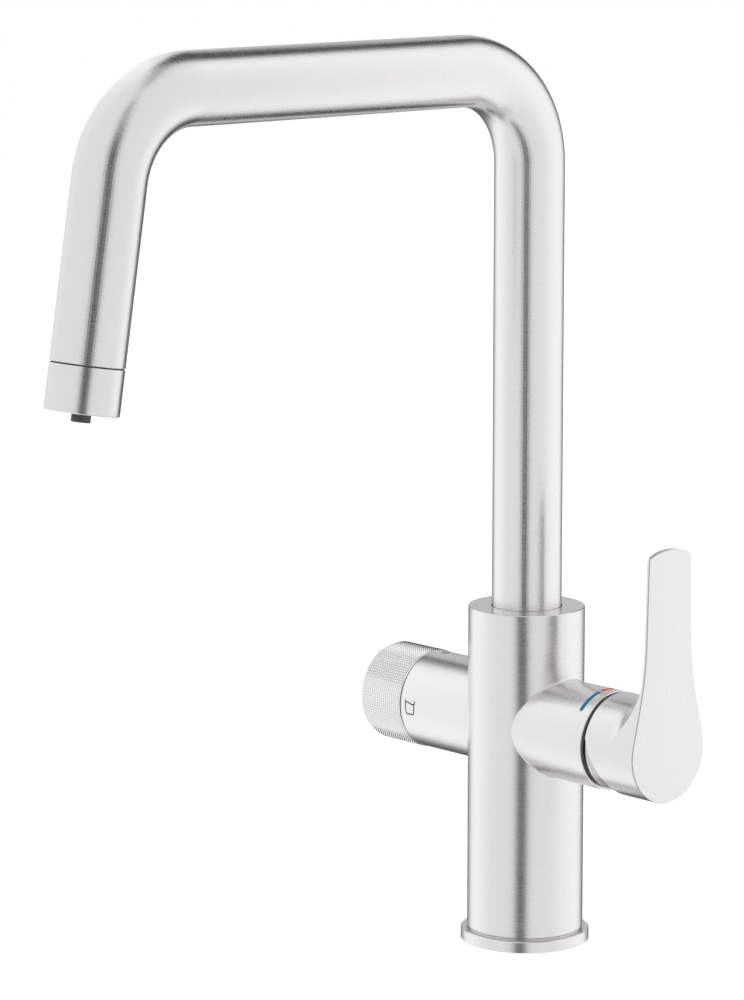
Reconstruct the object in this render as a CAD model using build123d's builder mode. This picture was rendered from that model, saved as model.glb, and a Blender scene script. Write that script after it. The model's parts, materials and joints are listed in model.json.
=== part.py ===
from build123d import *
import math
import os

# A kitchen tap with a mixing lever on its right and a filtered water knob on its left.
# Sizes are in millimetres. Z is up, the spout reaches towards -Y, the lever is at +X.
# The origin is the centre of the base ring's underside, where the tap stands on the deck.

# Clearances
running_fit = 0.05  # radial, between pieces that turn in each other
seat_fit = 0.02  # between pieces that are pressed, screwed or dropped into each other
moving_gap = 0.3  # between moving pieces that only pass each other
face_gap = 0.02  # between faces that slide on each other
edge_break = 0.3  # softened outer edges
seal_section = 0.8  # radius of the O-rings' cord
small_seal_section = 0.4
groove_room = 1.2  # a groove's width over its O-ring's

# Base ring and its gasket
ring_radius = 26.0
ring_height = 4.5
neck_inset = 0.65  # from the column's side to the neck's
neck_height = 0.5
deck_hole_radius = 17.5
spigot_play = 0.3
spigot_depth = 6.0
gasket_inner_radius = 20.0
gasket_outer_radius = 23.5
gasket_thickness = 1.5

# Column and the two handle tubes
column_radius = 23.45
column_wall = 2.25
column_rise = 47.15  # from the handles' axis to the column's top
top_plate = 3.0
foot_chamfer = 0.4
handle_height = 90.25
handle_radius = 20.0
handle_wall = 2.3
saddle_fillet = 0.6
housing_reach = 51.3
collar_reach = 53.2

# Waterway block
block_play = 0.1
lower_flange_height = 25.0
waist_radius = 15.0
block_skirt = 26.25  # from the handles' axis down to the block's shoulder
head_room = 20.9  # from the block's top to the column's
spigot_radius = 10.0
spigot_bore = 6.6
spigot_land = 1.9
nipple_radius = 3.0
nipple_bore = 1.5
nipple_proud = 3.5
socket_depth = 10.0
inlet_circle = 8.0
inlet_radius = 4.5
inlet_depth = 10.0
inlet_spread = 60.0  # degrees from +X to the cold and to the hot inlet
feed_radius = 3.0
filtered_feed_radius = 2.5
filtered_outlet_radius = 2.0
cross_feed_rise = 9.0
cross_feed_drop = 9.0

# Fixing below the deck
shank_radius = 16.0
shank_wall = 3.0
shank_drop = 62.0
deck_thickness = 30.0
washer_play = 0.4
washer_radius = 25.0
rubber_washer_thickness = 3.0
steel_washer_thickness = 2.0
nut_across_flats = 45.0
nut_height = 12.0
clamp_screw_radius = 2.0
clamp_screw_length = 17.0
screw_head_radius = 3.0
screw_head_height = 3.0

# Spout
tube_radius = 14.0
tube_wall = 1.5
arm_rise = 215.4  # from the column's top to the arm's axis
bend_radius = 37.5
arm_reach = 205.94  # from the column's axis to where the arm's and the drop's axes meet
drop_lean = 9.45  # degrees that the drop leans outwards
seam_distance = 98.6  # from that corner, along the drop, to the end of the tube
seam_width = 0.5
seam_recess = 0.7
glide_washer_thickness = 2.0
glide_ring_height = 5.0
bearing_length = 13.4
clip_thickness = 1.0
clip_groove_depth = 0.8
clip_radius = 11.8
clip_mouth = 3.2
swivel_limit = 75.0  # degrees each way
stop_screw_rise = 5.0
stop_screw_radius = 2.5
stop_nose_radius = 2.0
stop_nose_length = 2.6

# Filtered water hose inside the spout
hose_radius = 4.0
hose_bore = 2.6
barb_play = 0.05
barb_length = 8.0
barb_bore = 1.7
fitting_radius = 5.0
fitting_flange = 3.8
fitting_cover = 17.0  # length of the nipple that the fitting covers

# Outlet
cap_length = 17.2
cap_edge = 0.5
cap_wall = 2.0
cap_lip = 0.85
outlet_plug_length = 12.6
outlet_thread_length = 11.2
outlet_wall = 2.4
outlet_hub_radius = 5.4
outlet_rib = 1.6
nozzle_radius = 3.65
nozzle_bore = 2.2
nozzle_proud = 3.4
nozzle_shoulder = 2.6
aerator_flange = 1.0
aerator_recess = 0.5
aerator_seal_thickness = 1.0
aerator_hole_radius = 0.65
aerator_rows = {5.4: 12, 7.4: 18, 9.4: 24}  # radius of each row, and its holes

# Mixing cartridge
adapter_seat = 11.0  # from the column's axis to the block's face for the adapter
adapter_play = 0.2
port_radius = 2.1
port_drop = 4.5
port_rise = 9.0
port_seat_radius = 4.4
cartridge_wall = 2.0
cartridge_base_length = 8.0
fixed_disc_thickness = 4.0
moving_disc_thickness = 3.5
disc_travel_room = 5.0
mixing_recess_radius = 7.5
mixing_recess_depth = 1.8
carrier_length = 7.0
carrier_flat = 1.5
ball_radius = 2.2
ball_play = 0.15
ball_reach = 6.6  # from the lever's pivot to the ball that shifts the disc
finger_radius = 1.6
guide_flange = 1.8
guide_inset = 3.0
guide_neck_proud = 3.5
rail_length_gap = 0.9
cartridge_lip = 3.0
cartridge_nose = 1.5
cartridge_shoulder = 1.3
nut_setback = 0.3
pivot_setback = 1.3  # the lever tilts about a pin this far inside the housing's end
pivot_clearance = 3.4
pin_radius = 1.5
pin_inset = 1.0
stem_width = 7.0
stem_slot_height = 14.0

# Dome that shows between the housing and the lever's cup
dome_inset = 0.8
dome_wall = 1.0
dome_opening = 12.0
dome_foot_inset = 2.6
dome_web = 0.8

# Lever
cup_slit = 2.0  # between the housing and the cup's rim
cup_length = 26.4
tilt_limit = 22.0  # degrees
wedge_rise = 1.8
blade_top = 80.7
blade_top_radius = 27.0
blade_corner = 2.0
blade_flank = 13.5  # degrees
blade_waist = 31.7
blade_waist_radius = 122.0
blade_taper = 1.6  # degrees
blade_edge = 1.3
blade_crown = 2.4
crown_half_width = 12.0
blade_fillet = 12.0
lever_edge = 0.4
cup_wall = 4.0
cup_front_wall = 3.7
boss_radius = 7.5
boss_length = 5.5
socket_bite = 1.0  # depth of the stem's socket in the front wall
lever_screw_radius = 2.0
lever_screw_setback = 6.2

# Filtered water valve
valve_seat = 4.0
valve_radius = 10.0
valve_gasket_thickness = 2.0
valve_gasket_wall = 2.7
valve_disc_thickness = 3.0
valve_wall = 1.8
valve_port_radius = 2.0
valve_port_circle = 5.0
valve_notch_width = 4.4
valve_core_radius = 2.5
valve_key_width = 2.4
valve_key_length = 10.0
valve_key_depth = 1.2
valve_chamber_depth = 1.2
valve_chamber_length = 5.5
valve_window_length = 3.5
valve_window_width = 7.0
valve_land = 4.0  # between the chamber and the flange's seat
valve_flange_length = 6.0
valve_across_flats = 24.0
spotface_play = 0.5
valve_neck_radius = 9.0
valve_neck_inset = 3.2
spindle_radius = 4.0
spindle_foot = 2.5
spindle_grip = 12.4
spindle_flat = 1.0
spindle_clip_thickness = 1.0
spindle_clip_width = 2.0
spindle_clip_groove = 0.7
bush_length = 5.9
bush_inset = 0.3

# Knob
knob_gap = 0.4  # visible groove between the knob and its collar
knurl_height = 0.5
knob_rim_width = 1.0
knob_length = 24.1
knob_edge = 1.2
knob_wall = 2.2
knob_end_wall = 3.0
insert_radius = 9.0
insert_flange = 4.0
insert_web = 2.0
knob_screw_radius = 2.0
knob_screw_length = 8.0
knob_screw_head_radius = 3.5
knob_screw_head_height = 3.0

# Marks let into the handle tubes
mark_depth = 0.4
mark_proud = 0.03
temperature_mark_setback = 5.3
temperature_mark_width = 1.8
cold_mark_span = (14.5, 45.5)  # degrees from the top towards the front
hot_mark_span = (-11.0, 7.5)
symbol_setback = 5.5
glass_top_width = 5.4
glass_foot_width = 4.4
glass_height = 5.8
glass_corner = 0.9
glass_stroke = 0.5
water_line_drop = 1.2
water_line_swing = 0.3
off_ring_radius = 1.5
off_ring_stroke = 0.45

# Places along the column's axis
column_foot = ring_height + neck_height
column_top = handle_height + column_rise
plate_foot = column_top - top_plate
block_top = column_top - head_room
shank_top = column_foot + socket_depth
inlet_top = shank_top + inlet_depth
tube_foot = block_top + glide_washer_thickness + face_gap
stop_screw_height = tube_foot + stop_screw_rise
bearing_top = tube_foot + bearing_length
clip_height = bearing_top + moving_gap / 2
spigot_top = clip_height + clip_thickness + spigot_land
nipple_top = spigot_top + nipple_proud
arm_height = column_top + arm_rise

# Radii that follow from their neighbours
column_bore = column_radius - column_wall
block_radius = column_bore - block_play
handle_bore = handle_radius - handle_wall
tube_bore = tube_radius - tube_wall
adapter_radius = handle_bore - adapter_play
housing_bore = adapter_radius - cartridge_wall
cartridge_nose_radius = adapter_radius - cartridge_shoulder - cartridge_wall
guide_neck_radius = housing_bore - guide_inset
moving_disc_radius = housing_bore - disc_travel_room
carrier_half_width = moving_disc_radius - carrier_flat
dome_radius = handle_radius - dome_inset
dome_foot_radius = handle_radius - dome_foot_inset
cup_bore = handle_radius - cup_wall
outlet_thread_radius = tube_radius - cap_wall
outlet_bore = outlet_thread_radius - outlet_wall
aerator_radius = outlet_thread_radius - cap_lip

# Places along the lever's side, all measured from the column's axis
cup_rim = housing_reach + cup_slit
lever_front = cup_rim + cup_length
nut_reach = housing_reach - nut_setback
pivot_reach = housing_reach - pivot_setback
guide_shoulder = pivot_reach - pivot_clearance
guide_start = guide_shoulder - guide_flange
lip_start = guide_shoulder + running_fit
lip_end = lip_start + cartridge_lip
nose_start = lip_end - cartridge_nose
carrier_end = guide_start - moving_gap
carrier_start = carrier_end - carrier_length
moving_disc_start = carrier_start - moving_disc_thickness
fixed_disc_start = moving_disc_start - face_gap - fixed_disc_thickness
cartridge_start = fixed_disc_start - cartridge_base_length
adapter_length = cartridge_start - adapter_seat
ball_centre = pivot_reach - ball_reach

# Places along the knob's side, all measured from the column's axis
gasket_end = valve_seat + valve_gasket_thickness
valve_disc_face = gasket_end + valve_disc_thickness
valve_disc_end = valve_disc_face + face_gap + valve_disc_thickness
spindle_foot_end = valve_disc_end + spindle_foot
valve_cavity_end = spindle_foot_end + moving_gap
chamber_start = valve_disc_face - valve_chamber_depth
chamber_end = chamber_start + valve_chamber_length
chamber_middle = chamber_start + valve_chamber_length / 2
valve_flange_seat = chamber_end + valve_land
valve_neck_end = collar_reach - valve_neck_inset
knob_start = collar_reach + knob_gap
knob_end = knob_start + knob_length
spindle_end = knob_start + spindle_grip

lean = math.radians(drop_lean)
drop_direction = (0, -math.sin(lean), -math.cos(lean))
base = (Align.CENTER, Align.CENTER, Align.MIN)
handle_axis = Axis((0, 0, handle_height), (1, 0, 0))


def right(reach):
    """A plane that faces +X on the handles' axis, this far from the column's axis."""
    return Plane(origin=(reach, 0, handle_height), x_dir=(0, 1, 0), z_dir=(1, 0, 0))


def left(reach):
    """A plane that faces -X on the handles' axis, this far from the column's axis."""
    return Plane(origin=(-reach, 0, handle_height), x_dir=(0, -1, 0), z_dir=(-1, 0, 0))


def around(angle):
    """A plane through the handles' axis, turned from the top towards the front by an angle."""
    turn = math.radians(angle)
    facing = (0, -math.cos(turn), -math.sin(turn))
    return Plane(origin=(0, 0, handle_height), x_dir=(1, 0, 0), z_dir=facing)


def drop(distance):
    """A plane that faces along the drop, this far from the arm's corner."""
    origin = Vector(0, -arm_reach, arm_height) + Vector(*drop_direction) * distance
    return Plane(origin=origin, x_dir=(1, 0, 0), z_dir=drop_direction)


def drill(start, end, radius):
    """Cuts a round hole between two points of the part being built."""
    direction = Vector(*end) - Vector(*start)
    with Locations(Plane(origin=start, z_dir=direction)):
        Cylinder(radius, direction.length, align=base, mode=Mode.SUBTRACT)


def drill_handle(start, end, radius):
    """Cuts a round hole along the handles' axis, between two places on it."""
    drill((start, 0, handle_height), (end, 0, handle_height), radius)


def drill_drop(start, end, radius):
    """Cuts a round hole along the drop, between two distances from the arm's corner."""
    drill(tuple(drop(start).origin), tuple(drop(end).origin), radius)


def ring(face, outer, inner, length):
    """Adds a plain ring that stands on a plane."""
    with BuildSketch(face) as outline:
        Circle(outer)
        Circle(inner, mode=Mode.SUBTRACT)
    extrude(outline.sketch, amount=length)


def groove(section, axis, middle, across, along):
    """Cuts a square groove round an axis; across and along are its size in the section."""
    with BuildSketch(section) as outline:
        with Locations(middle):
            Rectangle(across, along)
    revolve(outline.sketch, axis=axis, mode=Mode.SUBTRACT)


def seal_radius(bore, cord):
    """Radius at the middle of an O-ring's cord that fills a bore."""
    return bore - cord - seat_fit / 2


def inlet(turn, height):
    """A point on the inlets' circle, turned from +X by an angle in degrees."""
    side = math.radians(turn)
    return (inlet_circle * math.cos(side), inlet_circle * math.sin(side), height)


# Thin shell just under the handle tubes' surface, which every mark lies in
with BuildPart() as mark_shell:
    with Locations(left(collar_reach)):
        Cylinder(
            handle_radius + mark_proud, collar_reach + housing_reach,
            align=(Align.CENTER, Align.CENTER, Align.MAX),
        )
        Cylinder(
            handle_radius - mark_depth, collar_reach + housing_reach,
            align=(Align.CENTER, Align.CENTER, Align.MAX), mode=Mode.SUBTRACT,
        )


def temperature_mark(span):
    """Adds a stroke with round ends that runs round the lever's housing."""
    reach = housing_reach - temperature_mark_setback
    with BuildSketch(around(span[0])) as stroke:
        with Locations((reach, handle_radius)):
            Rectangle(temperature_mark_width, 2 * mark_depth)
    revolve(stroke.sketch, axis=handle_axis, revolution_arc=span[1] - span[0])
    for angle in span:
        turn = math.radians(angle)
        outwards = Vector(0, -math.sin(turn), math.cos(turn))
        start = Vector(reach, 0, handle_height) + outwards * (handle_radius - mark_depth)
        with Locations(Plane(origin=start, z_dir=outwards)):
            Cylinder(temperature_mark_width / 2, 2 * mark_depth, align=base)
    add(mark_shell.part, mode=Mode.INTERSECT)


with BuildPart() as cold_mark:
    temperature_mark(cold_mark_span)
cold_mark.part.label = "cold_mark"

with BuildPart() as hot_mark:
    temperature_mark(hot_mark_span)
hot_mark.part.label = "hot_mark"

# Drinking glass with a wavy water line, on the front of the collar
symbol_reach = collar_reach - symbol_setback
glass_front = Plane(
    origin=(-symbol_reach, -handle_radius - mark_depth, handle_height),
    x_dir=(1, 0, 0), z_dir=(0, -1, 0),
)
water_level = glass_height / 2 - water_line_drop
water_half_width = glass_top_width / 2
water_half_width -= (glass_top_width - glass_foot_width) / 2 * water_line_drop / glass_height
with BuildPart() as glass_symbol:
    with BuildSketch(glass_front):
        with BuildLine():
            FilletPolyline(
                (-glass_top_width / 2, glass_height / 2),
                (-glass_foot_width / 2, -glass_height / 2),
                (glass_foot_width / 2, -glass_height / 2),
                (glass_top_width / 2, glass_height / 2),
                radius=glass_corner,
            )
        trace(line_width=glass_stroke)
        with BuildLine():
            Spline(
                (-water_half_width, water_level),
                (-water_half_width / 2, water_level + water_line_swing),
                (0, water_level),
                (water_half_width / 2, water_level - water_line_swing),
                (water_half_width, water_level),
            )
        trace(line_width=glass_stroke)
    extrude(amount=-handle_radius / 2)
    add(mark_shell.part, mode=Mode.INTERSECT)
glass_symbol.part.label = "glass_symbol"

# Small ring on top of the collar that marks the closed place of the knob
with BuildPart() as off_mark:
    with BuildSketch(Plane.XY.offset(handle_height + handle_radius + mark_depth)):
        with Locations((-symbol_reach, 0)):
            Circle(off_ring_radius)
            Circle(off_ring_radius - off_ring_stroke, mode=Mode.SUBTRACT)
    extrude(amount=-handle_radius / 2)
    add(mark_shell.part, mode=Mode.INTERSECT)
off_mark.part.label = "off_mark"

# Base ring, with the spigot that centres it in the deck's hole
with BuildPart() as base_ring:
    Cylinder(ring_radius, ring_height, align=base)
    chamfer(base_ring.edges().group_by(Axis.Z)[-1], edge_break)
    with Locations((0, 0, ring_height)):
        Cylinder(column_radius - neck_inset, neck_height, align=base)
    with Locations((0, 0, -spigot_depth)):
        Cylinder(deck_hole_radius - spigot_play, spigot_depth, align=base)
    drill((0, 0, -spigot_depth), (0, 0, column_foot), shank_radius + spigot_play)
    with BuildSketch():
        Circle(gasket_outer_radius)
        Circle(gasket_inner_radius, mode=Mode.SUBTRACT)
    extrude(amount=gasket_thickness, mode=Mode.SUBTRACT)
base_ring.part.label = "base_ring"

with BuildPart() as base_gasket:
    ring(Plane.XY, gasket_outer_radius, gasket_inner_radius, gasket_thickness)
base_gasket.part.label = "base_gasket"

# Column with the two handle tubes, one hollow shell
with BuildPart() as tap_body:
    with Locations((0, 0, column_foot)):
        Cylinder(column_radius, column_top - column_foot, align=base)
    fillet(tap_body.edges().group_by(Axis.Z)[-1], edge_break)
    chamfer(tap_body.edges().group_by(Axis.Z)[0], foot_chamfer)
    with Locations(right(0)):
        Cylinder(handle_radius, housing_reach, align=base)
    with Locations(left(0)):
        Cylinder(handle_radius, collar_reach, align=base)
    saddles = [
        edge for edge in tap_body.edges()
        if edge.geom_type not in (GeomType.CIRCLE, GeomType.LINE)
    ]
    fillet(saddles, saddle_fillet)
    ends = tap_body.faces().filter_by(GeomType.PLANE).sort_by(Axis.X)
    chamfer(ends[-1].outer_wire().edges(), edge_break)
    chamfer(ends[0].outer_wire().edges(), edge_break / 2)
    drill((0, 0, column_foot), (0, 0, plate_foot), column_bore)
    drill((0, 0, plate_foot), (0, 0, column_top), tube_radius + moving_gap)
    drill_handle(0, housing_reach, handle_bore)
    drill_handle(0, -collar_reach, handle_bore)
    for mark in (cold_mark, hot_mark, glass_symbol, off_mark):
        add(mark.part, mode=Mode.SUBTRACT)
    drill(
        (0, column_bore - column_wall, stop_screw_height),
        (0, column_radius + column_wall, stop_screw_height),
        stop_screw_radius + seat_fit,
    )
tap_body.part.label = "tap_body"

# Brass block that carries the water from the inlets to the valves and up to the spout
port_spread = inlet_circle * math.sin(math.radians(inlet_spread))
port_height = handle_height - port_drop
mixed_height = handle_height + port_rise
mixed_riser = (nipple_radius + spigot_bore) / 2
mixed_riser_radius = (spigot_bore - nipple_radius) / 2
cross_feed_height = inlet_top + cross_feed_rise
outlet_cross_height = block_top - cross_feed_drop
chamber_radius = valve_radius + valve_chamber_depth
spotface_radius = valve_across_flats / math.sqrt(3) + spotface_play
spigot_seal_heights = (tube_foot + bearing_length / 4, tube_foot + bearing_length * 3 / 4)
nipple_seal_height = nipple_top - 4 * small_seal_section
with BuildPart() as waterway_block:
    with Locations((0, 0, column_foot)):
        Cylinder(block_radius, lower_flange_height, align=base)
        Cylinder(waist_radius, block_top - column_foot, align=base)
    with Locations((0, 0, handle_height - block_skirt)):
        Cylinder(block_radius, block_top + block_skirt - handle_height, align=base)
    with Locations((0, 0, block_top)):
        Cylinder(spigot_radius, spigot_top - block_top, align=base)
    drill((0, 0, block_top), (0, 0, spigot_top), spigot_bore)
    with Locations((0, 0, block_top)):
        Cylinder(nipple_radius, nipple_top - block_top, align=base)
    drill((0, 0, column_foot), (0, 0, shank_top), shank_radius + seat_fit)
    # Inlet threads and the drillings of the cold and the hot water
    for turn in (-inlet_spread, inlet_spread, 180):
        drill(inlet(turn, shank_top), inlet(turn, inlet_top), inlet_radius)
    for turn in (-inlet_spread, inlet_spread):
        corner = inlet(turn, port_height)
        drill(inlet(turn, shank_top), corner, feed_radius)
        drill(corner, (adapter_seat, corner[1], port_height), feed_radius)
    # Drillings of the filtered water, up to its valve
    drill(inlet(180, shank_top), inlet(180, cross_feed_height), filtered_feed_radius)
    drill(inlet(180, cross_feed_height), (0, 0, cross_feed_height), filtered_feed_radius)
    drill((0, 0, cross_feed_height), (0, 0, handle_height), filtered_feed_radius)
    drill_handle(0, -valve_seat, filtered_feed_radius)
    # Seat of the mixing cartridge, and the mixed water's way up
    drill_handle(adapter_seat, column_radius, adapter_radius + seat_fit)
    drill((mixed_riser, 0, mixed_height), (adapter_seat, 0, mixed_height), mixed_riser_radius)
    drill((mixed_riser, 0, mixed_height), (mixed_riser, 0, block_top), mixed_riser_radius)
    # Pocket of the filtered water valve, and the filtered water's way up
    drill_handle(-valve_seat, -column_radius, valve_radius)
    drill_handle(-chamber_start, -chamber_end, chamber_radius)
    drill_handle(-valve_flange_seat, -column_radius, spotface_radius)
    drill(
        (-chamber_middle, 0, handle_height + valve_radius),
        (-chamber_middle, 0, outlet_cross_height),
        filtered_outlet_radius,
    )
    drill(
        (-chamber_middle, 0, outlet_cross_height), (0, 0, outlet_cross_height),
        filtered_outlet_radius,
    )
    drill((0, 0, outlet_cross_height), (0, 0, nipple_top), nipple_bore)
    # Grooves for the spigot's two seals and its clip, and for the nipple's seal
    for height in spigot_seal_heights:
        middle = (spigot_radius, height)
        groove(Plane.XZ, Axis.Z, middle, 4 * seal_section, 2 * seal_section * groove_room)
    middle = (spigot_radius, clip_height + clip_thickness / 2)
    groove(Plane.XZ, Axis.Z, middle, 2 * clip_groove_depth, clip_thickness + 2 * seat_fit)
    middle = (nipple_radius, nipple_seal_height)
    groove(
        Plane.XZ, Axis.Z, middle, 4 * small_seal_section, 2 * small_seal_section * groove_room
    )
waterway_block.part.label = "waterway_block"

with BuildPart() as spigot_seals:
    with Locations([(0, 0, height) for height in spigot_seal_heights]):
        Torus(seal_radius(spigot_radius + running_fit, seal_section), seal_section)
spigot_seals.part.label = "spigot_seals"

with BuildPart() as nipple_seal:
    with Locations((0, 0, nipple_seal_height)):
        Torus(seal_radius(nipple_radius + running_fit, small_seal_section), small_seal_section)
nipple_seal.part.label = "nipple_seal"

# Threaded shank that hangs through the deck, with the hoses' way through it
with BuildPart() as fixing_shank:
    ring(Plane.XY.offset(-shank_drop), shank_radius, shank_radius - shank_wall,
         shank_drop + shank_top)
    rims = fixing_shank.edges().group_by(Axis.Z)[0]
    chamfer(rims.sort_by(SortBy.RADIUS)[-1], 3 * edge_break)
fixing_shank.part.label = "fixing_shank"

rubber_washer_foot = -deck_thickness - rubber_washer_thickness
steel_washer_foot = rubber_washer_foot - steel_washer_thickness
washer_bore = shank_radius + washer_play
with BuildPart() as rubber_washer:
    ring(Plane.XY.offset(rubber_washer_foot), washer_radius, washer_bore,
         rubber_washer_thickness)
rubber_washer.part.label = "rubber_washer"

with BuildPart() as steel_washer:
    ring(Plane.XY.offset(steel_washer_foot), washer_radius, washer_bore,
         steel_washer_thickness)
steel_washer.part.label = "steel_washer"

clamp_screw_circle = (shank_radius + nut_across_flats / 2) / 2
with BuildPart() as fixing_nut:
    with BuildSketch(Plane.XY.offset(steel_washer_foot)):
        RegularPolygon(nut_across_flats / 2, 6, major_radius=False)
        Circle(shank_radius + seat_fit, mode=Mode.SUBTRACT)
        with PolarLocations(clamp_screw_circle, 2):
            Circle(clamp_screw_radius + seat_fit, mode=Mode.SUBTRACT)
    extrude(amount=-nut_height)
    flats = fixing_nut.edges().filter_by(GeomType.LINE)
    chamfer(flats.group_by(Axis.Z)[0], 2 * edge_break)
fixing_nut.part.label = "fixing_nut"

# Two screws in the nut that press the washers against the deck
screw_foot = steel_washer_foot - clamp_screw_length
with BuildPart() as clamp_screws:
    with Locations((0, 0, screw_foot)):
        with PolarLocations(clamp_screw_circle, 2):
            Cylinder(clamp_screw_radius, clamp_screw_length, align=base)
            Cylinder(
                screw_head_radius, screw_head_height,
                align=(Align.CENTER, Align.CENTER, Align.MAX),
            )
    chamfer(clamp_screws.edges().group_by(Axis.Z)[0], edge_break)
    with BuildSketch(Plane.XY.offset(screw_foot - screw_head_height)):
        with PolarLocations(clamp_screw_circle, 2):
            RegularPolygon(clamp_screw_radius, 6)
    extrude(amount=screw_head_height * 2 / 3, mode=Mode.SUBTRACT)
clamp_screws.part.label = "clamp_screws"

# Bearings of the spout, and the clip that keeps it from lifting off
with BuildPart() as lower_glide_ring:
    ring(Plane.XY.offset(block_top), tube_radius, spigot_radius + running_fit,
         glide_washer_thickness)
lower_glide_ring.part.label = "lower_glide_ring"

with BuildPart() as upper_glide_ring:
    ring(Plane.XY.offset(plate_foot), column_bore - seat_fit, tube_radius + running_fit,
         -glide_ring_height)
upper_glide_ring.part.label = "upper_glide_ring"

with BuildPart() as spout_clip:
    ring(Plane.XY.offset(clip_height + seat_fit), clip_radius,
         spigot_radius - clip_groove_depth + seat_fit, clip_thickness)
    with Locations((0, 0, clip_height)):
        Box(
            2 * clip_radius, clip_mouth, 2 * clip_thickness,
            align=(Align.MIN, Align.CENTER, Align.CENTER), mode=Mode.SUBTRACT,
        )
spout_clip.part.label = "spout_clip"

# Screw in the back of the column: its nose runs in the tube's slot and stops the swivel
stop_nose_start = tube_bore + moving_gap
stop_thread_start = stop_nose_start + stop_nose_length
stop_screw_end = column_radius - edge_break
back = Plane(origin=(0, 0, stop_screw_height), z_dir=(0, 1, 0))
with BuildPart() as stop_screw:
    with Locations(back.offset(stop_nose_start)):
        Cylinder(stop_nose_radius, stop_nose_length, align=base)
    with Locations(back.offset(stop_thread_start)):
        Cylinder(stop_screw_radius, stop_screw_end - stop_thread_start, align=base)
    with BuildSketch(back.offset(stop_screw_end)):
        RegularPolygon(stop_screw_radius / 2, 6)
    extrude(amount=-stop_screw_radius, mode=Mode.SUBTRACT)
stop_screw.part.label = "stop_screw"

# Spout tube: riser, arm and drop in one bent tube
with BuildLine() as spout_path:
    FilletPolyline(
        (0, 0, tube_foot),
        (0, 0, arm_height),
        (0, -arm_reach, arm_height),
        tuple(drop(seam_distance).origin),
        radius=bend_radius,
    )
stop_half_angle = math.asin((stop_nose_radius + 2 * running_fit) / tube_bore)
slot_half_angle = swivel_limit + math.degrees(stop_half_angle)
slot_start = math.radians(90 - slot_half_angle)
slot_plane = Plane(
    origin=(0, 0, 0),
    x_dir=(math.cos(slot_start), math.sin(slot_start), 0),
    z_dir=(math.sin(slot_start), -math.cos(slot_start), 0),
)
with BuildPart() as spout_tube:
    with BuildSketch(Plane.XY.offset(tube_foot)):
        Circle(tube_radius)
        Circle(tube_bore, mode=Mode.SUBTRACT)
    sweep(path=spout_path.line)
    with BuildSketch(slot_plane):
        with Locations((tube_radius, stop_screw_height)):
            Rectangle(4 * tube_wall, 2 * (stop_nose_radius + moving_gap))
    revolve(axis=Axis.Z, revolution_arc=2 * slot_half_angle, mode=Mode.SUBTRACT)
spout_tube.part.label = "spout_tube"

with BuildPart() as spout_bearing:
    ring(Plane.XY.offset(tube_foot), tube_bore - seat_fit, spigot_radius + running_fit,
         bearing_length)
spout_bearing.part.label = "spout_bearing"

# Fitting on the nipple, and the hose that carries the filtered water to the outlet
fitting_foot = nipple_top - fitting_cover
flange_foot = nipple_top + moving_gap
barb_foot = flange_foot + fitting_flange
with BuildPart() as hose_fitting:
    with Locations((0, 0, fitting_foot)):
        Cylinder(fitting_radius, barb_foot - fitting_foot, align=base)
    with Locations((0, 0, barb_foot)):
        Cylinder(hose_bore - barb_play, barb_length, align=base)
    drill((0, 0, fitting_foot), (0, 0, flange_foot), nipple_radius + running_fit)
    drill((0, 0, flange_foot), (0, 0, barb_foot + barb_length), barb_bore)
hose_fitting.part.label = "hose_fitting"

nozzle_start = seam_distance - nozzle_shoulder
with BuildLine() as hose_path:
    FilletPolyline(
        (0, 0, barb_foot),
        (0, 0, arm_height),
        (0, -arm_reach, arm_height),
        tuple(drop(nozzle_start).origin),
        radius=bend_radius,
    )
with BuildPart() as filtered_hose:
    with BuildSketch(Plane.XY.offset(barb_foot)):
        Circle(hose_radius)
        Circle(hose_bore, mode=Mode.SUBTRACT)
    sweep(path=hose_path.line)
filtered_hose.part.label = "filtered_hose"

# Outlet: a plug in the tube's end, the cap, the aerator and the filtered water's nozzle
plug_start = seam_distance - outlet_plug_length
plug_seal_middle = seam_distance - outlet_plug_length / 2
cap_start = seam_distance + seam_width
thread_end = cap_start + outlet_thread_length
insert_start = thread_end + aerator_seal_thickness
lip_distance = insert_start + aerator_flange
cap_end = cap_start + cap_length
nozzle_end = cap_end + nozzle_proud
drop_axis = Axis(tuple(drop(0).origin), drop_direction)
drop_section = Plane(origin=drop(0).origin, x_dir=(1, 0, 0), z_dir=drop(0).y_dir)
with BuildPart() as outlet_body:
    with Locations(drop(plug_start)):
        Cylinder(tube_bore - seat_fit, outlet_plug_length, align=base)
    with Locations(drop(seam_distance)):
        Cylinder(outlet_thread_radius, thread_end - seam_distance, align=base)
    drill_drop(plug_start, thread_end, outlet_bore)
    with Locations(drop(seam_distance)):
        Cylinder(outlet_hub_radius, thread_end - seam_distance, align=base)
        for turn in (0, 60, 120):
            Box(
                2 * outlet_bore + outlet_rib, outlet_rib, thread_end - seam_distance,
                align=base, rotation=(0, 0, turn),
            )
    drill_drop(seam_distance, thread_end, nozzle_radius + seat_fit)
    groove(
        drop_section, drop_axis, (tube_bore - seat_fit, -plug_seal_middle),
        4 * small_seal_section, 2 * small_seal_section * groove_room,
    )
outlet_body.part.label = "outlet_body"

with BuildPart() as outlet_seal:
    with Locations(drop(plug_seal_middle)):
        Torus(seal_radius(tube_bore, small_seal_section), small_seal_section)
outlet_seal.part.label = "outlet_seal"

# Flat gasket that shows as a dark seam between the tube and the cap
with BuildPart() as cap_gasket:
    ring(drop(seam_distance), tube_radius - seam_recess, outlet_thread_radius + seat_fit,
         seam_width)
cap_gasket.part.label = "cap_gasket"

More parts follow.
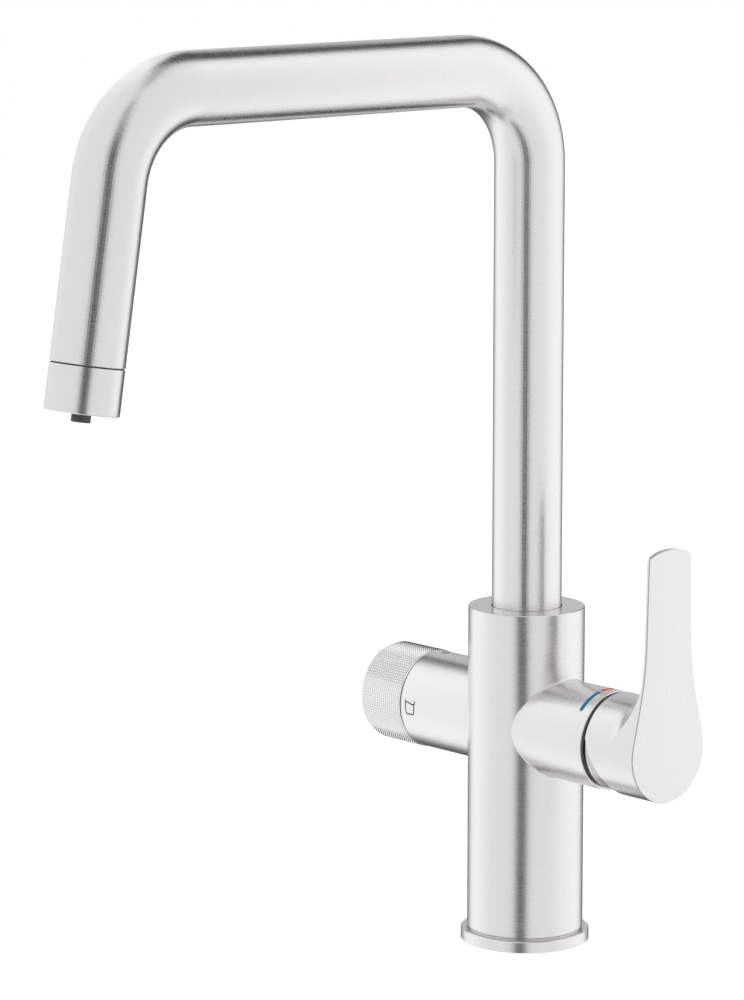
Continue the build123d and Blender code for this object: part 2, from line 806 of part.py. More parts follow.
with BuildPart() as outlet_cap:
    with Locations(drop(cap_start)):
        Cylinder(tube_radius, cap_length, align=base)
    fillet(outlet_cap.edges().group_by(Axis.Z)[0], cap_edge)
    drill_drop(cap_start, lip_distance, outlet_thread_radius + seat_fit)
    drill_drop(lip_distance, cap_end, aerator_radius + seat_fit)
outlet_cap.part.label = "outlet_cap"

with BuildPart() as aerator_seal:
    ring(drop(thread_end), outlet_thread_radius, outlet_bore + outlet_rib,
         aerator_seal_thickness)
aerator_seal.part.label = "aerator_seal"

with BuildPart() as aerator_insert:
    with Locations(drop(insert_start)):
        Cylinder(outlet_thread_radius, aerator_flange, align=base)
        Cylinder(aerator_radius, cap_end - aerator_recess - insert_start, align=base)
    with BuildSketch(drop(insert_start)):
        Circle(nozzle_radius + seat_fit)
        for row_radius, count in aerator_rows.items():
            with PolarLocations(row_radius, count):
                Circle(aerator_hole_radius)
    extrude(amount=cap_length, mode=Mode.SUBTRACT)
aerator_insert.part.label = "aerator_insert"

with BuildPart() as filtered_nozzle:
    with Locations(drop(nozzle_start - barb_length)):
        Cylinder(hose_bore - barb_play, barb_length, align=base)
    with Locations(drop(nozzle_start)):
        Cylinder(nozzle_radius, nozzle_end - nozzle_start, align=base)
    fillet(filtered_nozzle.edges().group_by(Axis.Z)[0], edge_break)
    drill_drop(nozzle_start - barb_length, nozzle_start, barb_bore)
    drill_drop(nozzle_start, nozzle_end, nozzle_bore)
filtered_nozzle.part.label = "filtered_nozzle"

# Ports through the cartridge and its adapter: cold in, hot in and mixed out
ports = [(-port_spread, -port_drop), (port_spread, -port_drop), (0, port_rise)]


def cut_ports(reach, length):
    """Cuts the three ports through a piece, and their seals' seats in its inner face."""
    with BuildSketch(right(reach)) as holes:
        with Locations(*ports):
            Circle(port_radius)
    extrude(holes.sketch, amount=length, mode=Mode.SUBTRACT)
    with BuildSketch(right(reach)) as seats:
        with Locations(*ports):
            Circle(port_seat_radius)
    extrude(seats.sketch, amount=2 * seal_section, mode=Mode.SUBTRACT)


def port_seals(reach):
    """Adds the three seals that fill those seats."""
    for side, rise in ports:
        with Locations((reach + seal_section, side, handle_height + rise)):
            Torus(seal_radius(port_seat_radius, seal_section), seal_section, rotation=(0, 90, 0))


with BuildPart() as port_adapter:
    with Locations(right(adapter_seat)):
        Cylinder(adapter_radius, adapter_length, align=base)
    cut_ports(adapter_seat, adapter_length)
port_adapter.part.label = "port_adapter"

with BuildPart() as adapter_seals:
    port_seals(adapter_seat)
adapter_seals.part.label = "adapter_seals"

with BuildPart() as cartridge_base:
    with Locations(right(cartridge_start)):
        Cylinder(housing_bore - seat_fit, cartridge_base_length, align=base)
    cut_ports(cartridge_start, cartridge_base_length)
cartridge_base.part.label = "cartridge_base"

with BuildPart() as cartridge_seals:
    port_seals(cartridge_start)
cartridge_seals.part.label = "cartridge_seals"

with BuildPart() as cartridge_housing:
    with Locations(right(cartridge_start)):
        Cylinder(adapter_radius, nose_start - cartridge_start, align=base)
        Cylinder(cartridge_nose_radius, lip_end - cartridge_start, align=base)
    drill_handle(cartridge_start, lip_start, housing_bore)
    drill_handle(lip_start, lip_end, guide_neck_radius + running_fit)
cartridge_housing.part.label = "cartridge_housing"

with BuildPart() as fixed_disc:
    with Locations(right(fixed_disc_start)):
        Cylinder(housing_bore - seat_fit, fixed_disc_thickness, align=base)
    with BuildSketch(right(fixed_disc_start)):
        with Locations(*ports):
            Circle(port_radius)
    extrude(amount=fixed_disc_thickness, mode=Mode.SUBTRACT)
fixed_disc.part.label = "fixed_disc"

with BuildPart() as moving_disc:
    with Locations(right(moving_disc_start)):
        Cylinder(moving_disc_radius, moving_disc_thickness, align=base)
    drill_handle(
        moving_disc_start, moving_disc_start + mixing_recess_depth, mixing_recess_radius
    )
moving_disc.part.label = "moving_disc"

# Carrier that the stem's ball pushes up and down between the guide's two rails
with BuildPart() as disc_carrier:
    with BuildSketch(right(carrier_start)):
        Circle(moving_disc_radius)
        Rectangle(2 * carrier_half_width, 2 * moving_disc_radius, mode=Mode.INTERSECT)
    extrude(amount=carrier_length)
    with BuildSketch(right(carrier_end)):
        Rectangle(2 * (ball_radius + moving_gap), 2 * (ball_radius + ball_play))
    extrude(amount=ball_centre - ball_radius - moving_gap - carrier_end, mode=Mode.SUBTRACT)
disc_carrier.part.label = "disc_carrier"

neck_end = pivot_reach + guide_neck_proud
rail_start = carrier_half_width + moving_gap
with BuildPart() as stem_guide:
    with Locations(right(guide_start)):
        Cylinder(housing_bore - running_fit, guide_flange, align=base)
        Cylinder(guide_neck_radius, neck_end - guide_start, align=base)
    with BuildSketch(right(carrier_start + rail_length_gap)):
        Rectangle(2 * housing_bore, stem_slot_height)
        Rectangle(2 * rail_start, stem_slot_height, mode=Mode.SUBTRACT)
        Circle(housing_bore - running_fit, mode=Mode.INTERSECT)
    extrude(amount=guide_start - carrier_start - rail_length_gap)
    with BuildSketch(right(guide_start)):
        Rectangle(stem_width + 2 * moving_gap, stem_slot_height)
    extrude(amount=neck_end - guide_start, mode=Mode.SUBTRACT)
    drill(
        (pivot_reach, -guide_neck_radius, handle_height),
        (pivot_reach, guide_neck_radius, handle_height),
        pin_radius + seat_fit,
    )
stem_guide.part.label = "stem_guide"

with BuildPart() as pivot_pin:
    with Locations(Plane(origin=(pivot_reach, 0, handle_height), z_dir=(0, 1, 0))):
        Cylinder(pin_radius, 2 * (guide_neck_radius - pin_inset))
pivot_pin.part.label = "pivot_pin"

# Square stem with the ball that works the disc, hung on the pin
socket_end = lever_front - cup_front_wall + socket_bite
with BuildPart() as lever_stem:
    with BuildSketch(right(guide_shoulder)):
        Rectangle(stem_width, stem_width)
    extrude(amount=socket_end - moving_gap - guide_shoulder)
    with Locations(right(ball_centre)):
        Cylinder(finger_radius, guide_shoulder - ball_centre, align=base)
        Sphere(ball_radius)
    drill(
        (pivot_reach, -stem_width, handle_height), (pivot_reach, stem_width, handle_height),
        pin_radius + running_fit,
    )
lever_stem.part.label = "lever_stem"

with BuildPart() as cartridge_nut:
    ring(right(nose_start), handle_bore - seat_fit, cartridge_nose_radius + seat_fit,
         nut_reach - nose_start)
cartridge_nut.part.label = "cartridge_nut"

# Dome whose centre is the lever's pivot, so that the cup can tilt over it
dome_start = cup_rim - moving_gap
web_end = dome_start + dome_web
dome_inner_radius = dome_radius - dome_wall
foot_inner_radius = dome_foot_radius - dome_wall
outer_start = math.degrees(math.acos((dome_start - pivot_reach) / dome_radius))
outer_end = math.degrees(math.asin(dome_opening / dome_radius))
inner_start = math.degrees(math.acos((web_end - pivot_reach) / dome_inner_radius))
inner_end = math.degrees(math.asin(dome_opening / dome_inner_radius))
pivot_point = (pivot_reach, 0)
with BuildPart() as dome_shroud:
    with BuildSketch(around(0)):
        with BuildLine():
            outer = CenterArc(pivot_point, dome_radius, outer_start, outer_end - outer_start)
            inner = CenterArc(
                pivot_point, dome_inner_radius, inner_start, inner_end - inner_start
            )
            Line(outer @ 1, inner @ 1)
            Polyline(
                outer @ 0,
                (dome_start, dome_foot_radius),
                (nut_reach, dome_foot_radius),
                (nut_reach, foot_inner_radius),
                (web_end, foot_inner_radius),
                inner @ 0,
            )
        make_face()
    revolve(axis=handle_axis)
dome_shroud.part.label = "dome_shroud"

# Envelope of the lever: the cup, its hollow flare into the blade, and the blade's crowned back
plate_back = lever_front - blade_edge
blade_span = blade_top + blade_fillet
crown_depth = blade_crown - blade_edge
crown_radius = (crown_half_width**2 + crown_depth**2) / (2 * crown_depth)
flare_centre = (plate_back - blade_fillet, handle_radius + blade_fillet)
with BuildPart() as lever_envelope:
    with BuildSketch(around(0)):
        with BuildLine():
            flare = CenterArc(flare_centre, blade_fillet, -90, 90)
            Polyline(
                flare @ 0,
                (cup_rim, handle_radius),
                (cup_rim, 0),
                (lever_front, 0),
                (lever_front, blade_span),
                (plate_back, blade_span),
                flare @ 1,
            )
        make_face()
    revolve(axis=handle_axis)
    with Locations((lever_front - blade_crown + crown_radius, 0, handle_height)):
        Cylinder(crown_radius, blade_span, align=base)

# Lever: its outline from the front, held to that envelope, then hollowed over the dome
flank = math.radians(blade_flank)
taper = math.tan(math.radians(blade_taper))
shoulder = Vector(math.cos(flank), math.sin(flank)) * handle_radius
waist_half_width = (handle_radius - blade_waist * math.sin(flank)) / math.cos(flank)
top_half_width = waist_half_width - taper * (blade_top - blade_waist)
arc_drop = blade_top_radius - math.sqrt(blade_top_radius**2 - top_half_width**2)
wedge = math.radians(tilt_limit)
wedge_plane = Plane(
    origin=(cup_rim + wedge_rise, 0, handle_height),
    x_dir=(0, 1, 0), z_dir=(math.cos(wedge), 0, math.sin(wedge)),
)
boss_start = lever_front - cup_front_wall - boss_length
lever_screw_reach = lever_front - lever_screw_setback
with BuildPart() as lever_handle:
    with BuildSketch(right(lever_front)) as outline:
        with BuildLine():
            Polyline(
                (-top_half_width, blade_top - arc_drop),
                (-waist_half_width, blade_waist),
                (-shoulder.X, shoulder.Y),
                (shoulder.X, shoulder.Y),
                (waist_half_width, blade_waist),
                (top_half_width, blade_top - arc_drop),
            )
            ThreePointArc(
                (top_half_width, blade_top - arc_drop), (0, blade_top),
                (-top_half_width, blade_top - arc_drop),
            )
        make_face()
        fillet(outline.vertices().group_by(Axis.Y)[-1], blade_corner)
        fillet(outline.vertices().group_by(Axis.Y)[1], blade_waist_radius)
        Circle(handle_radius)
    extrude(amount=-cup_length)
    add(lever_envelope.part, mode=Mode.INTERSECT)
    front = lever_handle.faces().filter_by(GeomType.PLANE).sort_by(Axis.X)[-1]
    fillet(front.outer_wire().edges(), lever_edge)
    split(bisect_by=wedge_plane, keep=Keep.TOP)
    with Locations((pivot_reach, 0, handle_height)):
        Sphere(dome_radius + moving_gap, mode=Mode.SUBTRACT)
    drill_handle(pivot_reach, lever_front - cup_front_wall, cup_bore)
    with Locations(right(boss_start)):
        Cylinder(boss_radius, boss_length, align=base)
    with BuildSketch(right(boss_start)):
        Rectangle(stem_width + 2 * running_fit, stem_width + 2 * running_fit)
    extrude(amount=socket_end - boss_start, mode=Mode.SUBTRACT)
    drill(
        (lever_screw_reach, 0, handle_height),
        (lever_screw_reach, 0, handle_height - cup_bore),
        lever_screw_radius + seat_fit,
    )
    drill(
        (lever_screw_reach, 0, handle_height - (boss_radius + cup_bore) / 2),
        (lever_screw_reach, 0, handle_height - handle_radius - moving_gap),
        lever_screw_radius + moving_gap,
    )
lever_handle.part.label = "lever_handle"

with BuildPart() as lever_screw:
    underside = Plane(origin=(lever_screw_reach, 0, handle_height), z_dir=(0, 0, -1))
    with Locations(underside.offset(stem_width / 2)):
        Cylinder(lever_screw_radius, boss_radius - stem_width / 2, align=base)
    with BuildSketch(underside.offset(boss_radius)):
        RegularPolygon(lever_screw_radius / 2, 6)
    extrude(amount=-lever_screw_radius, mode=Mode.SUBTRACT)
lever_screw.part.label = "lever_screw"

# Filtered water valve: a quarter-turn headpart with two ceramic discs
valve_cavity_radius = valve_radius - valve_wall
valve_disc_radius = valve_cavity_radius - 2 * running_fit
valve_seal_middle = (chamber_end + valve_flange_seat) / 2
spindle_bore = spindle_radius + running_fit
spindle_seal_middle = valve_flange_seat + valve_flange_length / 2
with BuildPart() as valve_gasket:
    ring(left(valve_seat), valve_radius - seat_fit, valve_radius - valve_gasket_wall,
         valve_gasket_thickness)
valve_gasket.part.label = "valve_gasket"

with BuildPart() as valve_body:
    with Locations(left(gasket_end)):
        Cylinder(valve_radius - running_fit, valve_flange_seat - gasket_end, align=base)
    with BuildSketch(left(valve_flange_seat)):
        RegularPolygon(valve_across_flats / 2, 6, major_radius=False)
    extrude(amount=valve_flange_length)
    with Locations(left(valve_flange_seat)):
        Cylinder(valve_neck_radius, valve_neck_end - valve_flange_seat, align=base)
    drill_handle(-gasket_end, -valve_cavity_end, valve_cavity_radius)
    drill_handle(-valve_cavity_end, -valve_neck_end, spindle_bore)
    with Locations((-chamber_middle, 0, handle_height)):
        Box(valve_window_length, valve_window_width, 2 * valve_radius, mode=Mode.SUBTRACT)
    middle = (-valve_seal_middle, valve_radius - running_fit)
    groove(around(0), handle_axis, middle, 2 * small_seal_section * groove_room,
           4 * small_seal_section)
valve_body.part.label = "valve_body"

with BuildPart() as valve_seal:
    with Locations(left(valve_seal_middle)):
        Torus(seal_radius(valve_radius, small_seal_section), small_seal_section)
valve_seal.part.label = "valve_seal"

with BuildPart() as valve_fixed_disc:
    with Locations(left(gasket_end)):
        Cylinder(valve_cavity_radius - seat_fit, valve_disc_thickness, align=base)
    with BuildSketch(left(gasket_end)):
        with Locations((0, -valve_port_circle), (0, valve_port_circle)):
            Circle(valve_port_radius)
    extrude(amount=valve_disc_thickness, mode=Mode.SUBTRACT)
valve_fixed_disc.part.label = "valve_fixed_disc"

# Its two notches lie across the ports while the knob is closed
with BuildPart() as valve_moving_disc:
    with BuildSketch(left(valve_disc_end)):
        Circle(valve_disc_radius)
        with Locations((valve_core_radius, 0)):
            Rectangle(
                valve_disc_radius, valve_notch_width,
                align=(Align.MIN, Align.CENTER), mode=Mode.SUBTRACT,
            )
        with Locations((-valve_core_radius, 0)):
            Rectangle(
                valve_disc_radius, valve_notch_width,
                align=(Align.MAX, Align.CENTER), mode=Mode.SUBTRACT,
            )
    extrude(amount=-valve_disc_thickness)
    with BuildSketch(left(valve_disc_end)):
        Rectangle(valve_key_width + 2 * running_fit, valve_key_length + 2 * running_fit)
    extrude(amount=-valve_key_depth, mode=Mode.SUBTRACT)
valve_moving_disc.part.label = "valve_moving_disc"

clip_middle = valve_neck_end + moving_gap + spindle_clip_thickness / 2
with BuildPart() as valve_spindle:
    with Locations(left(valve_disc_end)):
        Cylinder(valve_disc_radius, spindle_foot, align=base)
        Cylinder(spindle_radius, spindle_end - valve_disc_end, align=base)
    with BuildSketch(left(valve_disc_end)):
        Rectangle(valve_key_width, valve_key_length)
    extrude(amount=face_gap - valve_key_depth)
    with BuildSketch(left(spindle_end)):
        with Locations((0, spindle_radius - spindle_flat)):
            Rectangle(2 * spindle_radius, spindle_radius, align=(Align.CENTER, Align.MIN))
    extrude(amount=-spindle_grip, mode=Mode.SUBTRACT)
    drill_handle(-spindle_end, knob_screw_length - spindle_end, knob_screw_radius + seat_fit)
    groove(around(0), handle_axis, (-spindle_seal_middle, spindle_radius),
           2 * small_seal_section * groove_room, 4 * small_seal_section)
    groove(around(0), handle_axis, (-clip_middle, spindle_radius),
           spindle_clip_thickness + 2 * seat_fit, 2 * spindle_clip_groove)
valve_spindle.part.label = "valve_spindle"

with BuildPart() as spindle_seal:
    with Locations(left(spindle_seal_middle)):
        Torus(seal_radius(spindle_bore, small_seal_section), small_seal_section)
spindle_seal.part.label = "spindle_seal"

with BuildPart() as spindle_clip:
    ring(left(clip_middle - spindle_clip_thickness / 2), spindle_radius + spindle_clip_width,
         spindle_radius - spindle_clip_groove + seat_fit, spindle_clip_thickness)
    with Locations((-clip_middle, 0, handle_height)):
        Box(
            2 * spindle_clip_thickness, clip_mouth, 2 * spindle_radius,
            align=(Align.CENTER, Align.CENTER, Align.MAX), mode=Mode.SUBTRACT,
        )
spindle_clip.part.label = "spindle_clip"

with BuildPart() as collar_bush:
    ring(left(collar_reach - bush_inset - bush_length), handle_bore - seat_fit,
         valve_neck_radius + running_fit, bush_length)
collar_bush.part.label = "collar_bush"

# Knob: a shell pressed on an insert, which a screw holds on the spindle
knob_radius = handle_radius + knurl_height
knob_cavity_radius = knob_radius - knob_wall
cavity_end = knob_end - knob_end_wall
with BuildPart() as filter_knob:
    with Locations(left(knob_start)):
        Cylinder(handle_radius, knob_length, align=base)
    with Locations(left(knob_start + knob_rim_width)):
        Cylinder(knob_radius, knob_length - knob_rim_width, align=base)
    rims = filter_knob.edges().filter_by(GeomType.CIRCLE).group_by(SortBy.RADIUS)[-1]
    fillet(rims.sort_by(Axis.X)[0], knob_edge)
    chamfer(rims.sort_by(Axis.X)[-1], knurl_height * 0.8)
    drill_handle(-knob_start, -cavity_end, knob_cavity_radius)
filter_knob.part.label = "filter_knob"

insert_foot = knob_start + moving_gap
web_start = spindle_end + moving_gap
screw_seat = web_start + insert_web
with BuildPart() as knob_insert:
    with Locations(left(insert_foot)):
        Cylinder(insert_radius, cavity_end - insert_foot, align=base)
    with Locations(left(cavity_end - insert_flange)):
        Cylinder(knob_cavity_radius - seat_fit, insert_flange, align=base)
    with BuildSketch(left(insert_foot)):
        Circle(spindle_radius + running_fit)
        with Locations((0, spindle_radius - spindle_flat + running_fit)):
            Rectangle(
                2 * spindle_bore, spindle_radius,
                align=(Align.CENTER, Align.MIN), mode=Mode.SUBTRACT,
            )
    extrude(amount=web_start - insert_foot, mode=Mode.SUBTRACT)
    drill_handle(-web_start, -screw_seat, knob_screw_radius + running_fit)
    drill_handle(-screw_seat, -cavity_end, knob_screw_head_radius + moving_gap)
knob_insert.part.label = "knob_insert"

with BuildPart() as knob_screw:
    with Locations(left(screw_seat)):
        Cylinder(knob_screw_head_radius, knob_screw_head_height, align=base)
    with Locations(left(spindle_end - knob_screw_length + moving_gap)):
        Cylinder(
            knob_screw_radius, screw_seat - spindle_end + knob_screw_length - moving_gap,
            align=base,
        )
    with BuildSketch(left(screw_seat + knob_screw_head_height)):
        RegularPolygon(knob_screw_radius, 6)
    extrude(amount=-knob_screw_radius, mode=Mode.SUBTRACT)
knob_screw.part.label = "knob_screw"

pieces = (
    base_ring, base_gasket, tap_body, waterway_block, spigot_seals, nipple_seal,
    fixing_shank, rubber_washer, steel_washer, fixing_nut, clamp_screws,
    lower_glide_ring, upper_glide_ring, spout_clip, stop_screw,
    spout_tube, spout_bearing, hose_fitting, filtered_hose,
    outlet_body, outlet_seal, cap_gasket, outlet_cap, aerator_seal, aerator_insert,
    filtered_nozzle,
    port_adapter, adapter_seals, cartridge_base, cartridge_seals, cartridge_housing,
    fixed_disc, moving_disc, disc_carrier, stem_guide, pivot_pin, lever_stem,
    cartridge_nut, dome_shroud, lever_handle, lever_screw,
    valve_gasket, valve_body, valve_seal, valve_fixed_disc, valve_moving_disc,
    valve_spindle, spindle_seal, spindle_clip, collar_bush,
    filter_knob, knob_insert, knob_screw,
    cold_mark, hot_mark, glass_symbol, off_mark,
)
os.makedirs("parts", exist_ok=True)
for piece in pieces:
    export_step(piece.part, f"parts/{piece.part.label}.step")
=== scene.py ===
import bpy
import json
import math
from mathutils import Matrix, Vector


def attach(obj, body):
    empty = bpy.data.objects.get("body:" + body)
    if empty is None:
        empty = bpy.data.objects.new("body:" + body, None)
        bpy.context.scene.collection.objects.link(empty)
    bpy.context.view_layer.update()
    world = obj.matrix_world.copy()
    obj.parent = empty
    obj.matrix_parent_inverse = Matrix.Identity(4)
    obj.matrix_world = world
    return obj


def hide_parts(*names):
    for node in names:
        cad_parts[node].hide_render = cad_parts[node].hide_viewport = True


# A kitchen tap with a mixing lever on its right and a filtered water knob on its left.
# Places come from the frame, in metres. Patterns and small sizes are given in millimetres.
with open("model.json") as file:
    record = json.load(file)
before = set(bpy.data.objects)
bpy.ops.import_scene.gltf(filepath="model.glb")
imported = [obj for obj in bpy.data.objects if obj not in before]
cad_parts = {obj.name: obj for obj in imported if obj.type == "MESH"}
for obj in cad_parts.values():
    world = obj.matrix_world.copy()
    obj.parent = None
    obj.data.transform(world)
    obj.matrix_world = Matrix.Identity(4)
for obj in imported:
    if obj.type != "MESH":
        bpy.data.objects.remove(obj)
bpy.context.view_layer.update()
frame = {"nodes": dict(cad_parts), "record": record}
nodes = frame["nodes"]
mm = 0.001
print("frame loaded,", len(nodes), "nodes")

view = {
    "place": (1.1787, -1.1440, 0.4638),
    "turn": 48.024,  # degrees round from the front to the right
    "down": 9.806,  # degrees that it looks down
    "lens": 149.92,
    "film": 36,
    "clipEnd": 20,
}

studio = {
    "backdrop": 1.0,  # what the camera and the metal see
    "fill": 0.9,  # what lights the rest
    "floorColour": 0.97,
    "floorGlow": 0.32,
    "floorSize": 6.0,
    "lamps": {  # degrees round from the front, distance, height, size, watts
        "leftLamp": (-60, 1.2, 1.5, 1.2, 0.9),
        "rightLamp": (110, 1.2, 1.5, 1.2, 0.9),
    },
    # Cards, at: degrees round from the front, distance, height. Size: width, length. Soft: part of the width.
    # A flat card lies level, turned by so many degrees. The others stand.
    "cards": {
        "leftReflector": {"at": (-66, 0.245, 0.15), "size": (0.515, 1.72), "shade": 1.24, "soft": 1.0},
        "rightReflector": {"at": (148, 0.17, 0.15), "size": (0.50, 1.4), "shade": 1.24, "soft": 1.0},
        "frontCard": {"at": (37.5, 0.664, -0.35), "size": (0.25, 2.1), "shade": 0.02, "soft": 0.1},
        "upperFrontCard": {"at": (37.5, 0.664, 1.05), "size": (0.25, 0.7), "shade": 0.42, "soft": 0.1},
        "overheadCard": {"at": (6, 0.033, 1.4), "size": (0.28, 0.8), "shade": 0.5, "soft": 0.1, "flat": 51.2},
        "overheadRearCard": {"at": (-131, 0.88, 1.4), "size": (0.42, 1.35), "shade": 0.02, "soft": 0.1,
                             "flat": 44},
        "rightRearCard": {"at": (-160, 1.5, 0.9), "size": (0.90, 6.0), "shade": 0.0, "soft": 0.1},
        "leftRearCard": {"at": (-105, 1.5, 0.3), "size": (0.69, 4.6), "shade": 0.02, "soft": 0.1},
        "leftLowCard": {"at": (-117, 1.48, -0.55), "size": (1.1, 1.7), "shade": 0.1, "soft": 0.4},
        "lowRearCard": {"at": (-132, 0.28, -0.71), "size": (0.44, 0.74), "shade": 0.0, "soft": 0.1,
                        "flat": 37},
        "greyVeil": {"at": (-128, 4.2, 0.4), "size": (8.0, 6.6), "shade": 0.68, "soft": 0.1},
    },
}

tap = {
    "handleHeight": 90.25,
    "columnRadius": 23.45,
    "columnTop": 137.4,
    "ringTop": 25.6,  # the base ring's flat top lies within this radius
    "handleRadius": 20.0,
    "leverFront": 79.7,
    "knobEnd": 77.7,
    "dropLean": 9.45,  # degrees
    "armReach": 205.94,
    "armHeight": 352.8,
}


# A socket takes either a plain value or another socket's output.
def feed(tree, socket, value):
    if isinstance(value, bpy.types.NodeSocket):
        tree.links.new(value, socket)
    else:
        socket.default_value = value


def add(tree, kind, inputs=None, **settings):
    node = tree.nodes.new(kind)
    for name, value in settings.items():
        setattr(node, name, value)
    for name, value in (inputs or {}).items():
        feed(tree, node.inputs[name], value)
    return node


def calc(tree, operation, *values):
    return add(tree, "ShaderNodeMath", dict(enumerate(values)), operation=operation).outputs[0]


def scaledBy(tree, vector, amount):
    inputs = {0: vector, "Scale": amount}
    return add(tree, "ShaderNodeVectorMath", inputs, operation="SCALE").outputs[0]


def between(tree, value, low, high, toLow=0.0, toHigh=1.0):
    inputs = {"Value": value, "From Min": low, "From Max": high, "To Min": toLow, "To Max": toHigh}
    return add(tree, "ShaderNodeMapRange", inputs).outputs["Result"]


def split(tree, vector):
    return add(tree, "ShaderNodeSeparateXYZ", {"Vector": vector}).outputs


def lengthOf(tree, a, b):
    return calc(tree, "SQRT", calc(tree, "ADD", calc(tree, "MULTIPLY", a, a), calc(tree, "MULTIPLY", b, b)))


def mixColour(tree, factor, first, second):
    node = add(tree, "ShaderNodeMix", data_type="RGBA")
    feed(tree, node.inputs[0], factor)
    feed(tree, node.inputs[6], first)
    feed(tree, node.inputs[7], second)
    return node.outputs[2]


def mixValue(tree, factor, first, second):
    node = add(tree, "ShaderNodeMix", data_type="FLOAT")
    feed(tree, node.inputs[0], factor)
    feed(tree, node.inputs[2], first)
    feed(tree, node.inputs[3], second)
    return node.outputs[0]


def newGroup(name, inputs, outputs):
    group = bpy.data.node_groups.new(name, "ShaderNodeTree")
    for socket, (kind, value) in inputs.items():
        made = group.interface.new_socket(socket, in_out="INPUT", socket_type=kind)
        if value is not None:
            made.default_value = value
    for socket in outputs:
        group.interface.new_socket(socket, in_out="OUTPUT", socket_type="NodeSocketFloat")
    return group, group.nodes.new("NodeGroupInput").outputs, group.nodes.new("NodeGroupOutput").inputs


def useGroup(tree, group, **inputs):
    node = add(tree, "ShaderNodeGroup", node_tree=group)
    for name, value in inputs.items():
        feed(tree, node.inputs[name], value)
    return node.outputs


# The part of a noise's range that is stretched to run from 0 to 1.
contrast = {"fine": (0.3, 0.7), "broad": (0.32, 0.68), "patch": (0.3, 0.7), "speck": (0.35, 0.65)}
broadRelief = 0.4  # share of the broad lines in the relief


# Hairlines: noise that changes fast across the brushing and slowly along it.
def buildHairlines():
    sizes = {
        "Position": ("NodeSocketVector", None),
        "Across": ("NodeSocketFloat", 0.0),
        "Spacing": ("NodeSocketFloat", 0.4),
        "Length": ("NodeSocketFloat", 40.0),
    }
    group, given, out = newGroup("hairlines", sizes, ("Fine", "Broad", "Height"))
    share = calc(group, "DIVIDE", 1.0, given["Length"])
    along = scaledBy(group, given["Position"], share)
    layers = []
    for wider, detail in ((1.0, 3.0), (6.0, 2.0)):
        spacing = calc(group, "MULTIPLY", given["Spacing"], wider)
        across = calc(group, "DIVIDE", given["Across"], spacing)
        inputs = {"Vector": along, "W": across, "Scale": 1.0, "Detail": detail, "Roughness": 0.62}
        noise = add(group, "ShaderNodeTexNoise", inputs, noise_dimensions="4D")
        layers.append(noise.outputs["Fac"])
    feed(group, out["Fine"], between(group, layers[0], *contrast["fine"]))
    feed(group, out["Broad"], between(group, layers[1], *contrast["broad"]))
    feed(group, out["Height"], mixValue(group, broadRelief, layers[0], layers[1]))
    return group


# Soft patches, as of handling and of wear, that break up an even surface.
def buildPatches():
    sizes = {"Position": ("NodeSocketVector", None), "Size": ("NodeSocketFloat", 20.0)}
    group, given, out = newGroup("patches", sizes, ("Mask",))
    share = calc(group, "DIVIDE", 1.0, given["Size"])
    inputs = {"Vector": given["Position"], "Scale": share, "Detail": 4.0, "Roughness": 0.55}
    noise = add(group, "ShaderNodeTexNoise", inputs)
    feed(group, out["Mask"], between(group, noise.outputs["Fac"], *contrast["patch"]))
    return group


# The fine skin of moulded and cast surfaces.
def buildSkin():
    sizes = {"Position": ("NodeSocketVector", None), "Size": ("NodeSocketFloat", 0.3)}
    group, given, out = newGroup("skin", sizes, ("Speck", "Height"))
    share = calc(group, "DIVIDE", 1.0, given["Size"])
    inputs = {"Vector": given["Position"], "Scale": share, "Detail": 3.0, "Roughness": 0.6}
    noise = add(group, "ShaderNodeTexNoise", inputs)
    feed(group, out["Speck"], between(group, noise.outputs["Fac"], *contrast["speck"]))
    feed(group, out["Height"], noise.outputs["Fac"])
    return group


hairlines = buildHairlines()
patches = buildPatches()
skin = buildSkin()


# How far a point may lie off a face and still be brushed as that face is.
slack = {"flat": 0.05, "round": 0.15, "cup": 0.2, "knobEnd": 0.7}


# Each way of brushing gives the distance across its lines, in millimetres.
def acrossX(tree, x, y, z):
    return x


def acrossZ(tree, x, y, z):
    return z


def fromHandleAxis(tree, y, z):
    return lengthOf(tree, y, calc(tree, "SUBTRACT", z, tap["handleHeight"]))


# Column and base ring: rings round the column on its sides, round its middle on flat tops.
def acrossColumn(tree, x, y, z):
    radius = lengthOf(tree, x, y)
    top = calc(tree, "GREATER_THAN", z, tap["columnTop"] - slack["flat"])
    column = mixValue(tree, top, z, radius)
    barrel = calc(tree, "GREATER_THAN", radius, tap["columnRadius"] + slack["round"])
    return mixValue(tree, barrel, column, x)


def acrossRing(tree, x, y, z):
    radius = lengthOf(tree, x, y)
    top = calc(tree, "LESS_THAN", radius, tap["ringTop"])
    return mixValue(tree, top, z, radius)


def acrossDrop(tree, x, y, z):
    lean = math.radians(tap["dropLean"])
    outwards = calc(tree, "MULTIPLY", y, -math.sin(lean))
    return calc(tree, "ADD", outwards, calc(tree, "MULTIPLY", z, -math.cos(lean)))


# Lever: rings round the cup, lines along the front and the blade.
def acrossLever(tree, x, y, z):
    off = calc(tree, "ABSOLUTE", calc(tree, "SUBTRACT", fromHandleAxis(tree, y, z), tap["handleRadius"]))
    cup = calc(tree, "LESS_THAN", off, slack["cup"])
    side = calc(tree, "LESS_THAN", x, tap["leverFront"] - slack["cup"])
    return mixValue(tree, calc(tree, "MULTIPLY", cup, side), y, x)


def acrossKnob(tree, x, y, z):
    radius = fromHandleAxis(tree, y, z)
    end = calc(tree, "LESS_THAN", x, slack["knobEnd"] - tap["knobEnd"])
    return mixValue(tree, end, x, radius)


def acrossTube(tree, x, y, z):
    return add(tree, "ShaderNodeAttribute", attribute_name="along").outputs["Fac"]


